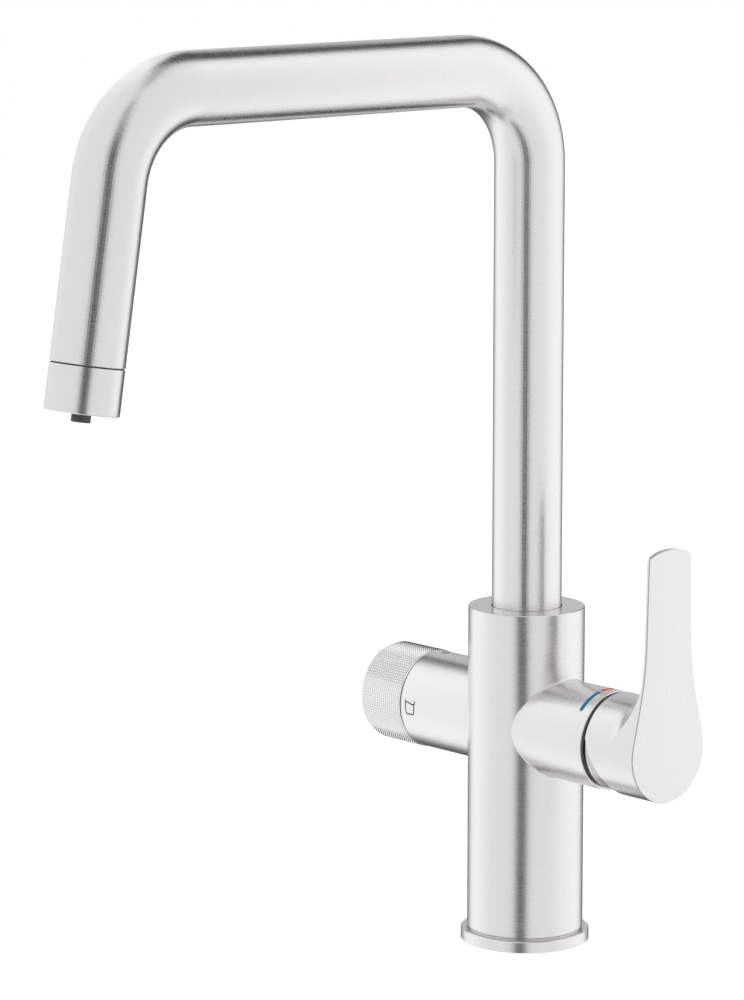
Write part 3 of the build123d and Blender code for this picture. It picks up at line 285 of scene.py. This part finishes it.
def emptyMaterial(name):
    material = bpy.data.materials.new(name)
    material.use_nodes = True
    material.node_tree.nodes.clear()
    return material, material.node_tree


# A material with its surface, and the position on the piece in millimetres.
def newMaterial(name):
    material, tree = emptyMaterial(name)
    surface = add(tree, "ShaderNodeBsdfPrincipled")
    add(tree, "ShaderNodeOutputMaterial", {"Surface": surface.outputs[0]})
    position = scaledBy(tree, add(tree, "ShaderNodeTexCoord").outputs["Object"], 1 / mm)
    return material, tree, surface, position


def relief(tree, surface, height, depth):
    bump = add(tree, "ShaderNodeBump", {"Height": height, "Distance": depth * mm, "Strength": 1.0})
    feed(tree, surface.inputs["Normal"], bump.outputs["Normal"])


# Painted shade: colours that stand in for shade in the dome's slit, along the lever's front edge and in the
# knurl's valleys.
paintedShade = {
    "slit": {"dark": 52.4, "clear": 53.0, "shade": (0.05, 0.05, 0.05, 1)},  # from and to, along the barrel
    "edge": {"back": 0.42, "front": 0.03, "from": 4.0, "to": -2.0, "shade": (0.46, 0.46, 0.45, 1)},
    "teeth": {"side": 0.3, "shadedValley": (0.54, 0.54, 0.53, 1), "lighterTips": (0.81, 0.805, 0.795, 1),
              "smooth": -1.0, "from": -0.5, "to": -0.1},
}


# The dark slit before the cup: the dome lies in the shade there and comes into the light further out.
def shadedSlit(tree, x, y, z, colour):
    slit = paintedShade["slit"]
    return mixColour(tree, between(tree, x, slit["dark"], slit["clear"]), slit["shade"], colour)


# Painted shade along the broken edge of the lever's front, on its left side and its top: the colour is darker
# there and stands in for the edge's shading.
def paintedEdgeShade(tree, x, y, z, colour):
    edge = paintedShade["edge"]
    behind = calc(tree, "GREATER_THAN", x, tap["leverFront"] - edge["back"])
    before = calc(tree, "LESS_THAN", x, tap["leverFront"] - edge["front"])
    left = between(tree, y, edge["from"], edge["to"])
    mask = calc(tree, "MULTIPLY", calc(tree, "MULTIPLY", behind, before), left)
    return mixColour(tree, mask, colour, edge["shade"])


# Painted shade: the valleys between the teeth are darker in colour, where shade falls. The teeth's sides and
# tops are lighter.
def valleyShadeOnTeeth(tree, x, y, z, colour):
    tip = add(tree, "ShaderNodeAttribute", attribute_name="tip").outputs["Fac"]
    teeth = paintedShade["teeth"]
    toothed = mixColour(tree, between(tree, tip, 0.0, teeth["side"]), teeth["shadedValley"], teeth["lighterTips"])
    return mixColour(tree, between(tree, tip, teeth["from"], teeth["to"]), colour, toothed)


# Brushed metal: the lines show in its roughness and its relief, and only faintly in its colour.
def brushedMetal(name, across, finish, tint=None):
    material, tree, surface, position = newMaterial(name)
    x, y, z = split(tree, position)
    lines = useGroup(tree, hairlines, Position=position, Across=across(tree, x, y, z),
                     Spacing=finish["spacing"], Length=finish["length"])
    patch = useGroup(tree, patches, Position=position, Size=finish["patch"])["Mask"]
    grey = mixValue(tree, finish["broad"], lines["Fine"], lines["Broad"])
    colour = mixColour(tree, grey, finish["dark"], finish["light"])
    if tint:
        colour = tint(tree, x, y, z, colour)
    feed(tree, surface.inputs["Base Color"], colour)
    low, high = finish["roughness"]
    base = between(tree, grey, 0.0, 1.0, low, high)
    feed(tree, surface.inputs["Roughness"],
         calc(tree, "ADD", base, calc(tree, "MULTIPLY", patch, finish["smudge"])))
    surface.inputs["Metallic"].default_value = 1.0
    relief(tree, surface, lines["Height"], finish["depth"])
    return material


handledShare = 0.3  # how far the patches bring out the darker colour


def plainSolid(name, finish):
    material, tree, surface, position = newMaterial(name)
    grain = useGroup(tree, skin, Position=position, Size=finish["grain"])
    patch = useGroup(tree, patches, Position=position, Size=finish["patch"])["Mask"]
    colour = mixColour(tree, grain["Speck"], finish["dark"], finish["light"])
    handled = calc(tree, "MULTIPLY", patch, handledShare)
    feed(tree, surface.inputs["Base Color"], mixColour(tree, handled, colour, finish["dark"]))
    low, high = finish["roughness"]
    feed(tree, surface.inputs["Roughness"], between(tree, patch, 0.0, 1.0, low, high))
    surface.inputs["Specular IOR Level"].default_value = finish.get("specular", 0.5)
    relief(tree, surface, grain["Height"], finish["depth"])
    return material


steelFinish = {
    "dark": (0.71, 0.705, 0.695, 1), "light": (0.73, 0.725, 0.715, 1),
    "roughness": (0.245, 0.29), "smudge": 0.02, "patch": 18.0,
    "spacing": 0.45, "length": 26.0, "broad": 0.35, "depth": 0.0005,
}
knurledFinish = dict(steelFinish, roughness=(0.20, 0.26))
innerFinish = dict(steelFinish, roughness=(0.28, 0.40),
                   dark=(0.52, 0.515, 0.50, 1), light=(0.64, 0.63, 0.62, 1))
brassFinish = dict(steelFinish, roughness=(0.25, 0.38),
                   dark=(0.60, 0.43, 0.19, 1), light=(0.74, 0.56, 0.28, 1))
plasticFinishes = {
    "dark_plastic": {"dark": (0.045, 0.045, 0.043, 1), "light": (0.07, 0.07, 0.066, 1),
                     "roughness": (0.38, 0.5), "grain": 0.35, "patch": 6.0, "depth": 0.01},
    "white_plastic": {"dark": (0.70, 0.69, 0.66, 1), "light": (0.80, 0.79, 0.76, 1),
                      "roughness": (0.35, 0.48), "grain": 0.35, "patch": 9.0, "depth": 0.008},
    "rubber": {"dark": (0.018, 0.018, 0.018, 1), "light": (0.035, 0.034, 0.033, 1),
               "roughness": (0.55, 0.75), "grain": 0.25, "patch": 5.0, "depth": 0.015},
    "ceramic": {"dark": (0.72, 0.70, 0.65, 1), "light": (0.84, 0.82, 0.78, 1),
                "roughness": (0.12, 0.22), "grain": 0.12, "patch": 7.0, "depth": 0.001},
    "blue_enamel": {"dark": (0.0, 0.16, 0.35, 1), "light": (0.0, 0.19, 0.41, 1), "specular": 0.1,
                    "roughness": (0.3, 0.4), "grain": 0.2, "patch": 3.0, "depth": 0.002},
    "red_enamel": {"dark": (0.68, 0.03, 0.003, 1), "light": (0.78, 0.045, 0.006, 1), "specular": 0.1,
                   "roughness": (0.3, 0.4), "grain": 0.2, "patch": 3.0, "depth": 0.002},
    "grey_enamel": {"dark": (0.012, 0.012, 0.012, 1), "light": (0.022, 0.022, 0.021, 1), "specular": 0.15,
                    "roughness": (0.35, 0.45), "grain": 0.2, "patch": 3.0, "depth": 0.002},
}


def makeMaterials():
    made = {name: plainSolid(name, finish) for name, finish in plasticFinishes.items()}
    made["steel"] = brushedMetal("turned_steel", acrossZ, steelFinish)
    made["inner_steel"] = brushedMetal("plain_steel", acrossZ, innerFinish)
    made["brass"] = brushedMetal("turned_brass", acrossZ, brassFinish)
    made["tap_body"] = brushedMetal("column_steel", acrossColumn, steelFinish)
    made["base_ring"] = brushedMetal("ring_steel", acrossRing, steelFinish)
    made["spout_tube"] = brushedMetal("tube_steel", acrossTube, steelFinish)
    made["outlet_cap"] = brushedMetal("cap_steel", acrossDrop, steelFinish)
    made["lever_handle"] = brushedMetal("lever_steel", acrossLever, steelFinish, paintedEdgeShade)
    made["knurled_steel"] = brushedMetal("knurled_steel", acrossKnob, knurledFinish, valleyShadeOnTeeth)
    made["dome_shroud"] = brushedMetal("dome_steel", acrossX, innerFinish, shadedSlit)
    return made


def dressNodes(materials):
    for part in frame["record"]["subparts"]:
        mesh = nodes[part["node"]].data
        mesh.materials.clear()
        mesh.materials.append(materials.get(part["node"]) or materials[part["material_slot"]])


# Geometry trees: each has named inputs for its sizes. Its start mesh gives the route or the section.
def newShape(name, inputs):
    tree = bpy.data.node_groups.new(name, "GeometryNodeTree")
    tree.interface.new_socket("Geometry", in_out="INPUT", socket_type="NodeSocketGeometry")
    for socket, kind in inputs.items():
        tree.interface.new_socket(socket, in_out="INPUT", socket_type=kind)
    tree.interface.new_socket("Geometry", in_out="OUTPUT", socket_type="NodeSocketGeometry")
    return tree, tree.nodes.new("NodeGroupInput").outputs, tree.nodes.new("NodeGroupOutput").inputs


def sample(tree, geometry, kind, value, index):
    inputs = {"Geometry": geometry, "Value": value, "Index": index}
    return add(tree, "GeometryNodeSampleIndex", inputs, data_type=kind).outputs["Value"]


# Stores a value on the mesh under a name.
def keep(tree, geometry, name, value, kind="FLOAT", domain="POINT"):
    inputs = {"Geometry": geometry, "Name": name, "Value": value}
    return add(tree, "GeometryNodeStoreNamedAttribute", inputs, data_type=kind, domain=domain).outputs[0]


seamGap = 0.001 * mm
rowStep = {"half": 0.5, "same": 0.1}  # rows are whole numbers: half a row, and the slack of equal ones


# A sheet of rows and columns, and each point's row and column in it. It is rolled up by moving its points.
def newSheet(tree, rows, columns):
    inputs = {"Size X": calc(tree, "SUBTRACT", rows, 1), "Size Y": columns,
              "Vertices X": rows, "Vertices Y": calc(tree, "ADD", columns, 1)}
    sheet = add(tree, "GeometryNodeMeshGrid", inputs).outputs["Mesh"]
    x, y = split(tree, add(tree, "GeometryNodeInputPosition").outputs[0])[:2]
    row = calc(tree, "ROUND", calc(tree, "ADD", x, calc(tree, "DIVIDE", calc(tree, "SUBTRACT", rows, 1), 2)))
    column = calc(tree, "ROUND", calc(tree, "ADD", y, calc(tree, "DIVIDE", columns, 2)))
    return sheet, row, column


# Closes the rolled sheet's seam, marks its sharp edges and gives it its material.
def finishSheet(tree, sheet, sharpest, material):
    merged = add(tree, "GeometryNodeMergeByDistance", {"Geometry": sheet, "Distance": seamGap}).outputs[0]
    angle = add(tree, "GeometryNodeInputMeshEdgeAngle").outputs["Unsigned Angle"]
    isSharp = calc(tree, "GREATER_THAN", angle, math.radians(sharpest))
    marked = keep(tree, merged, "sharp_edge", isSharp, "BOOLEAN", "EDGE")
    whole = add(tree, "GeometryNodeRealizeInstances", {"Geometry": marked}).outputs[0]
    return add(tree, "GeometryNodeSetMaterial", {"Geometry": whole, "Material": material}).outputs[0]


# The result of a shape's tree, as a plain mesh.
def shapePiece(name, tree, start, values):
    piece = place(name, start, (0, 0, 0), (0, 0, 0))
    modifier = piece.modifiers.new("shape", "NODES")
    modifier.node_group = tree
    for socket in tree.interface.items_tree:
        if socket.in_out == "INPUT" and socket.name in values:
            modifier[socket.identifier] = values[socket.name]
    finished = piece.evaluated_get(bpy.context.evaluated_depsgraph_get())
    mesh = bpy.data.meshes.new_from_object(finished)
    piece.modifiers.remove(modifier)
    piece.data = mesh
    print(name, "has", len(mesh.vertices), "points")
    return piece


spout = {
    "radius": 14.0,
    "bore": 12.5,
    "foot": 118.52,
    "bend": 37.5,
    "bendSteps": 30,
    "around": 96,
    "dropLength": 98.6,
    "endChamfer": 0.15,
    "slotHeight": 123.52,
    "slotWidth": 4.6,
    "slotHalfAngle": 84.67,
    "slotSteps": 40,
    "sharpest": 40,  # edges that bend more than this stay sharp
}


# Bent tube: its wall is one sheet that goes up the outside, round the end and back down the bore.
def buildBentTube():
    lengths = ("Radius", "Bore", "Bend", "End Chamfer", "Slot Height", "Slot Width", "Slot Half Angle")
    kinds = dict.fromkeys(lengths, "NodeSocketFloat")
    kinds.update({"Bend Steps": "NodeSocketInt", "Around": "NodeSocketInt", "Material": "NodeSocketMaterial"})
    tree, given, out = newShape("bentTube", kinds)
    line = add(tree, "GeometryNodeMeshToCurve", {"Mesh": given["Geometry"]}).outputs[0]
    inputs = {"Curve": line, "Count": given["Bend Steps"], "Radius": given["Bend"], "Limit Radius": False}
    route = add(tree, "GeometryNodeFilletCurve", inputs, mode="POLY").outputs[0]
    size = add(tree, "GeometryNodeAttributeDomainSize", {"Geometry": route}, component="CURVE")
    count = size.outputs["Point Count"]

    double = calc(tree, "MULTIPLY", count, 2)
    sheet, row, column = newSheet(tree, calc(tree, "ADD", double, 2), given["Around"])
    last = calc(tree, "SUBTRACT", count, 1)
    back = calc(tree, "MAXIMUM", calc(tree, "SUBTRACT", double, row), 0)
    index = calc(tree, "MINIMUM", calc(tree, "MINIMUM", row, last), back)
    pastEnd = calc(tree, "GREATER_THAN", row, calc(tree, "ADD", count, rowStep["half"]))
    beforeFoot = calc(tree, "LESS_THAN", row, calc(tree, "ADD", double, rowStep["half"]))
    inside = calc(tree, "MULTIPLY", pastEnd, beforeFoot)
    atEnd = calc(tree, "COMPARE", row, count, rowStep["same"])
    beforeEnd = calc(tree, "COMPARE", row, last, rowStep["same"])
    radius = mixValue(tree, inside, given["Radius"], given["Bore"])
    radius = calc(tree, "SUBTRACT", radius, calc(tree, "MULTIPLY", atEnd, given["End Chamfer"]))
    shift = calc(tree, "MULTIPLY", beforeEnd, calc(tree, "MULTIPLY", given["End Chamfer"], -1))

    position = add(tree, "GeometryNodeInputPosition").outputs[0]
    tangent = add(tree, "GeometryNodeInputTangent").outputs[0]
    length = add(tree, "GeometryNodeSplineParameter").outputs["Length"]
    centre = sample(tree, route, "FLOAT_VECTOR", position, index)
    forward = sample(tree, route, "FLOAT_VECTOR", tangent, index)
    along = calc(tree, "ADD", sample(tree, route, "FLOAT", length, index), shift)
    turn = calc(tree, "MULTIPLY", calc(tree, "DIVIDE", column, given["Around"]), 2 * math.pi)
    sideways = add(tree, "ShaderNodeCombineXYZ", {"X": 1.0}).outputs[0]
    inputs = {0: forward, 1: sideways}
    upwards = add(tree, "ShaderNodeVectorMath", inputs, operation="CROSS_PRODUCT").outputs[0]
    steps = ((forward, shift), (sideways, calc(tree, "MULTIPLY", radius, calc(tree, "COSINE", turn))),
             (upwards, calc(tree, "MULTIPLY", radius, calc(tree, "SINE", turn))))
    spot = centre
    for direction, amount in steps:
        inputs = {0: spot, 1: scaledBy(tree, direction, amount)}
        spot = add(tree, "ShaderNodeVectorMath", inputs, operation="ADD").outputs[0]
    marked = keep(tree, sheet, "along", calc(tree, "DIVIDE", along, mm))
    rolled = add(tree, "GeometryNodeSetPosition", {"Geometry": marked, "Position": spot}).outputs[0]
    closed = add(tree, "GeometryNodeMergeByDistance", {"Geometry": rolled, "Distance": seamGap}).outputs[0]

    half = given["Slot Half Angle"]
    start = calc(tree, "SUBTRACT", math.pi / 2, half)
    sweep = calc(tree, "MULTIPLY", half, 2)
    inputs = {"Resolution": spout["slotSteps"], "Radius": given["Radius"],
              "Start Angle": start, "Sweep Angle": sweep}
    arc = add(tree, "GeometryNodeCurveArc", inputs, mode="RADIUS").outputs["Curve"]
    inputs = {"Width": given["Slot Width"], "Height": given["Slot Width"]}
    square = add(tree, "GeometryNodeCurvePrimitiveQuadrilateral", inputs, mode="RECTANGLE").outputs[0]
    inputs = {"Curve": arc, "Profile Curve": square, "Fill Caps": True}
    bar = add(tree, "GeometryNodeCurveToMesh", inputs).outputs[0]
    lift = add(tree, "ShaderNodeCombineXYZ", {"Z": given["Slot Height"]}).outputs[0]
    cutter = add(tree, "GeometryNodeTransform", {"Geometry": bar, "Translation": lift}).outputs[0]
    inputs = {"Mesh 1": closed, "Mesh 2": cutter}
    cut = add(tree, "GeometryNodeMeshBoolean", inputs, operation="DIFFERENCE", solver="EXACT").outputs["Mesh"]
    feed(tree, out["Geometry"], finishSheet(tree, cut, spout["sharpest"], given["Material"]))
    return tree


def makeSpoutTube(material):
    lean = math.radians(tap["dropLean"])
    drop = spout["dropLength"]
    endReach = tap["armReach"] + math.sin(lean) * drop
    endHeight = tap["armHeight"] - math.cos(lean) * drop
    corners = [(0, spout["foot"]), (0, tap["armHeight"]),
               (-tap["armReach"], tap["armHeight"]), (-endReach, endHeight)]
    line = bpy.data.meshes.new("spoutRoute")
    line.from_pydata([(0, y * mm, z * mm) for y, z in corners], [(0, 1), (1, 2), (2, 3)], [])
    piece = shapePiece("bentTube", buildBentTube(), line, {
        "Radius": spout["radius"] * mm, "Bore": spout["bore"] * mm, "Bend": spout["bend"] * mm,
        "Bend Steps": spout["bendSteps"], "Around": spout["around"], "End Chamfer": spout["endChamfer"] * mm,
        "Slot Height": spout["slotHeight"] * mm, "Slot Width": spout["slotWidth"] * mm,
        "Slot Half Angle": math.radians(spout["slotHalfAngle"]), "Material": material,
    })
    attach(piece, "spout")
    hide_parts("spout_tube")


knob = {
    "start": 53.6,
    "radius": 20.0,
    "rim": 0.5,
    "toothHeight": 0.38,
    "toothRows": 38,
    "teethAround": 107,
    "toothFoot": 0.02,
    "endRounding": 1.1,
    "roundingSteps": 6,
    "edge": 0.15,
    "cavityRadius": 18.3,
    "endWall": 3.0,
    "sharpest": 22,
}


# Section of the knob from its rim to its end and back through its bore. Each point has its distance along
# the axis, its radius, and 1 where it is knurled.
def knobSection():
    radius, start, end = knob["radius"], knob["start"], tap["knobEnd"]
    bandStart = start + knob["rim"]
    bandEnd = end - knob["endRounding"]
    points = [(start, radius - knob["edge"], 0), (start + knob["edge"], radius, 0)]
    for row in range(knob["toothRows"] + 1):
        share = row / knob["toothRows"]
        inBand = 0 < row < knob["toothRows"]
        points.append((bandStart + share * (bandEnd - bandStart), radius + knob["toothFoot"], int(inBand)))
    for step in range(1, knob["roundingSteps"] + 1):
        turn = math.pi / 2 * step / knob["roundingSteps"]
        reach = bandEnd + knob["endRounding"] * math.sin(turn)
        points.append((reach, radius - knob["endRounding"] * (1 - math.cos(turn)), 0))
    cavity = knob["cavityRadius"]
    cavityEnd = end - knob["endWall"]
    points += [(end, 0, 0), (cavityEnd, 0, 0), (cavityEnd, cavity, 0), (start, cavity, 0)]
    mesh = bpy.data.meshes.new("knobSection")
    mesh.from_pydata([(-reach * mm, radius * mm, 0) for reach, radius, knurled in points], [], [])
    knurl = mesh.attributes.new("knurl", "FLOAT", "POINT")
    knurl.data.foreach_set("value", [float(knurled) for reach, radius, knurled in points])
    return mesh


# Turned piece round the handles' axis. In every other row, every other point stands out: small pyramids.
def buildKnurledTurning():
    kinds = {"Axis Height": "NodeSocketFloat", "Tooth Height": "NodeSocketFloat",
             "Teeth Around": "NodeSocketInt", "Material": "NodeSocketMaterial"}
    tree, given, out = newShape("knurledTurning", kinds)
    section = given["Geometry"]
    size = add(tree, "GeometryNodeAttributeDomainSize", {"Geometry": section}, component="MESH")
    count = size.outputs["Point Count"]
    around = calc(tree, "MULTIPLY", given["Teeth Around"], 2)
    sheet, row, column = newSheet(tree, calc(tree, "ADD", count, 1), around)
    index = calc(tree, "MODULO", row, count)
    position = add(tree, "GeometryNodeInputPosition").outputs[0]
    knurl = add(tree, "GeometryNodeInputNamedAttribute", {"Name": "knurl"}, data_type="FLOAT").outputs[0]
    reach, radius = split(tree, sample(tree, section, "FLOAT_VECTOR", position, index))[:2]
    knurled = sample(tree, section, "FLOAT", knurl, index)
    odd = calc(tree, "MULTIPLY", calc(tree, "MODULO", row, 2), calc(tree, "MODULO", column, 2))
    tooth = calc(tree, "MULTIPLY", calc(tree, "MULTIPLY", odd, knurled), given["Tooth Height"])
    radius = calc(tree, "ADD", radius, tooth)
    # The sheet rolls up this way round, so that its faces point outwards.
    turn = calc(tree, "MULTIPLY", calc(tree, "DIVIDE", column, around), -2 * math.pi)
    y = calc(tree, "MULTIPLY", radius, calc(tree, "SINE", turn))
    z = calc(tree, "ADD", given["Axis Height"], calc(tree, "MULTIPLY", radius, calc(tree, "COSINE", turn)))
    spot = add(tree, "ShaderNodeCombineXYZ", {"X": reach, "Y": y, "Z": z}).outputs[0]
    marked = keep(tree, sheet, "tip", mixValue(tree, knurled, paintedShade["teeth"]["smooth"], odd))
    rolled = add(tree, "GeometryNodeSetPosition", {"Geometry": marked, "Position": spot}).outputs[0]
    inputs = {"Mesh": rolled}
    facets = add(tree, "GeometryNodeTriangulate", inputs, quad_method="LONGEST_DIAGONAL").outputs[0]
    feed(tree, out["Geometry"], finishSheet(tree, facets, knob["sharpest"], given["Material"]))
    return tree


def makeKnob(material):
    piece = shapePiece("knurledKnob", buildKnurledTurning(), knobSection(), {
        "Axis Height": tap["handleHeight"] * mm, "Tooth Height": knob["toothHeight"] * mm,
        "Teeth Around": knob["teethAround"], "Material": material,
    })
    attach(piece, "filter_knob")
    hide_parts("filter_knob")


def aroundTap(degrees, distance, height):
    angle = math.radians(degrees)
    return Vector((math.sin(angle) * distance, -math.cos(angle) * distance, height))


def place(name, data, location, rotation):
    thing = bpy.data.objects.new(name, data)
    thing.location = location
    thing.rotation_euler = rotation
    bpy.context.scene.collection.objects.link(thing)
    return thing


def setCamera():
    camera = bpy.data.cameras.new("camera")
    camera.lens = view["lens"]
    camera.sensor_width = view["film"]
    camera.clip_end = view["clipEnd"]
    turn = (math.radians(90 - view["down"]), 0, math.radians(view["turn"]))
    bpy.context.scene.camera = place("camera", camera, view["place"], turn)


def setWorld():
    world = bpy.data.worlds.new("studio")
    bpy.context.scene.world = world
    world.use_nodes = True
    tree = world.node_tree
    tree.nodes.clear()
    ray = add(tree, "ShaderNodeLightPath").outputs
    mirrored = calc(tree, "MAXIMUM", ray["Is Glossy Ray"], ray["Is Transmission Ray"])
    seen = calc(tree, "MAXIMUM", ray["Is Camera Ray"], mirrored)
    strength = mixValue(tree, seen, studio["fill"], studio["backdrop"])
    background = add(tree, "ShaderNodeBackground", {"Color": (1, 1, 1, 1), "Strength": strength})
    add(tree, "ShaderNodeOutputWorld", {"Surface": background.outputs[0]})


def flatSheet(name, width, length):
    w, h = width / 2, length / 2
    mesh = bpy.data.meshes.new(name)
    mesh.from_pydata([(-w, -h, 0), (w, -h, 0), (w, h, 0), (-w, h, 0)], [], [(0, 1, 2, 3)])
    return mesh


def setFloor():
    mesh = flatSheet("floor", studio["floorSize"], studio["floorSize"])
    floor = place("floor", mesh, (0, 0, 0), (0, 0, 0))
    material, tree = emptyMaterial("pale_floor")
    shade = studio["floorColour"]
    diffuse = add(tree, "ShaderNodeBsdfDiffuse", {"Color": (shade, shade, shade, 1)}).outputs[0]
    glow = add(tree, "ShaderNodeEmission", {"Strength": studio["floorGlow"]}).outputs[0]
    whole = add(tree, "ShaderNodeAddShader", {0: diffuse, 1: glow}).outputs[0]
    clear = add(tree, "ShaderNodeBsdfTransparent").outputs[0]
    under = add(tree, "ShaderNodeNewGeometry").outputs["Backfacing"]
    mixed = add(tree, "ShaderNodeMixShader", {0: under, 1: whole, 2: clear}).outputs[0]
    add(tree, "ShaderNodeOutputMaterial", {"Surface": mixed})
    mesh.materials.append(material)
    floor.visible_glossy = False


def setLamps():
    for name, (degrees, distance, height, size, watts) in studio["lamps"].items():
        lamp = bpy.data.lights.new(name, "AREA")
        lamp.size = size
        lamp.energy = watts
        spot = aroundTap(degrees, distance, height)
        lampObject = place(name, lamp, spot, spot.to_track_quat("Z", "Y").to_euler())
        lampObject.visible_camera = False
        lampObject.visible_glossy = False


# A card is seen only by the metal. It fades out over the soft part of its width.
def cardMaterial(name, width, shade, soft):
    material, tree = emptyMaterial(name)
    x = split(tree, add(tree, "ShaderNodeTexCoord").outputs["Object"])["X"]
    inputs = {"Value": calc(tree, "ABSOLUTE", x), "From Min": width / 2, "From Max": width / 2 * (1 - soft)}
    weight = add(tree, "ShaderNodeMapRange", inputs, interpolation_type="SMOOTHSTEP").outputs["Result"]
    glow = add(tree, "ShaderNodeEmission", {"Color": (1, 1, 1, 1), "Strength": shade}).outputs[0]
    clear = add(tree, "ShaderNodeBsdfTransparent").outputs[0]
    mixed = add(tree, "ShaderNodeMixShader", {0: weight, 1: clear, 2: glow}).outputs[0]
    add(tree, "ShaderNodeOutputMaterial", {"Surface": mixed})
    return material


def setCards():
    for name, card in studio["cards"].items():
        width, length = card["size"]
        mesh = flatSheet(name, width, length)
        mesh.materials.append(cardMaterial(name, width, card["shade"], card["soft"]))
        degrees, distance, height = card["at"]
        turn = (math.radians(90), 0, math.radians(degrees))
        if "flat" in card:
            turn = (0, 0, math.radians(card["flat"]))
        sheet = place(name, mesh, aroundTap(degrees, distance, height), turn)
        sheet.visible_camera = False
        sheet.visible_diffuse = False
        sheet.visible_shadow = False
        sheet.visible_transmission = False


bpy.context.scene.view_settings.view_transform = "Standard"
setCamera()
setWorld()
setFloor()
setLamps()
setCards()
print("studio set")

materials = makeMaterials()
dressNodes(materials)
print("materials made")

makeSpoutTube(materials["spout_tube"])
makeKnob(materials["knurled_steel"])
print("pieces made")
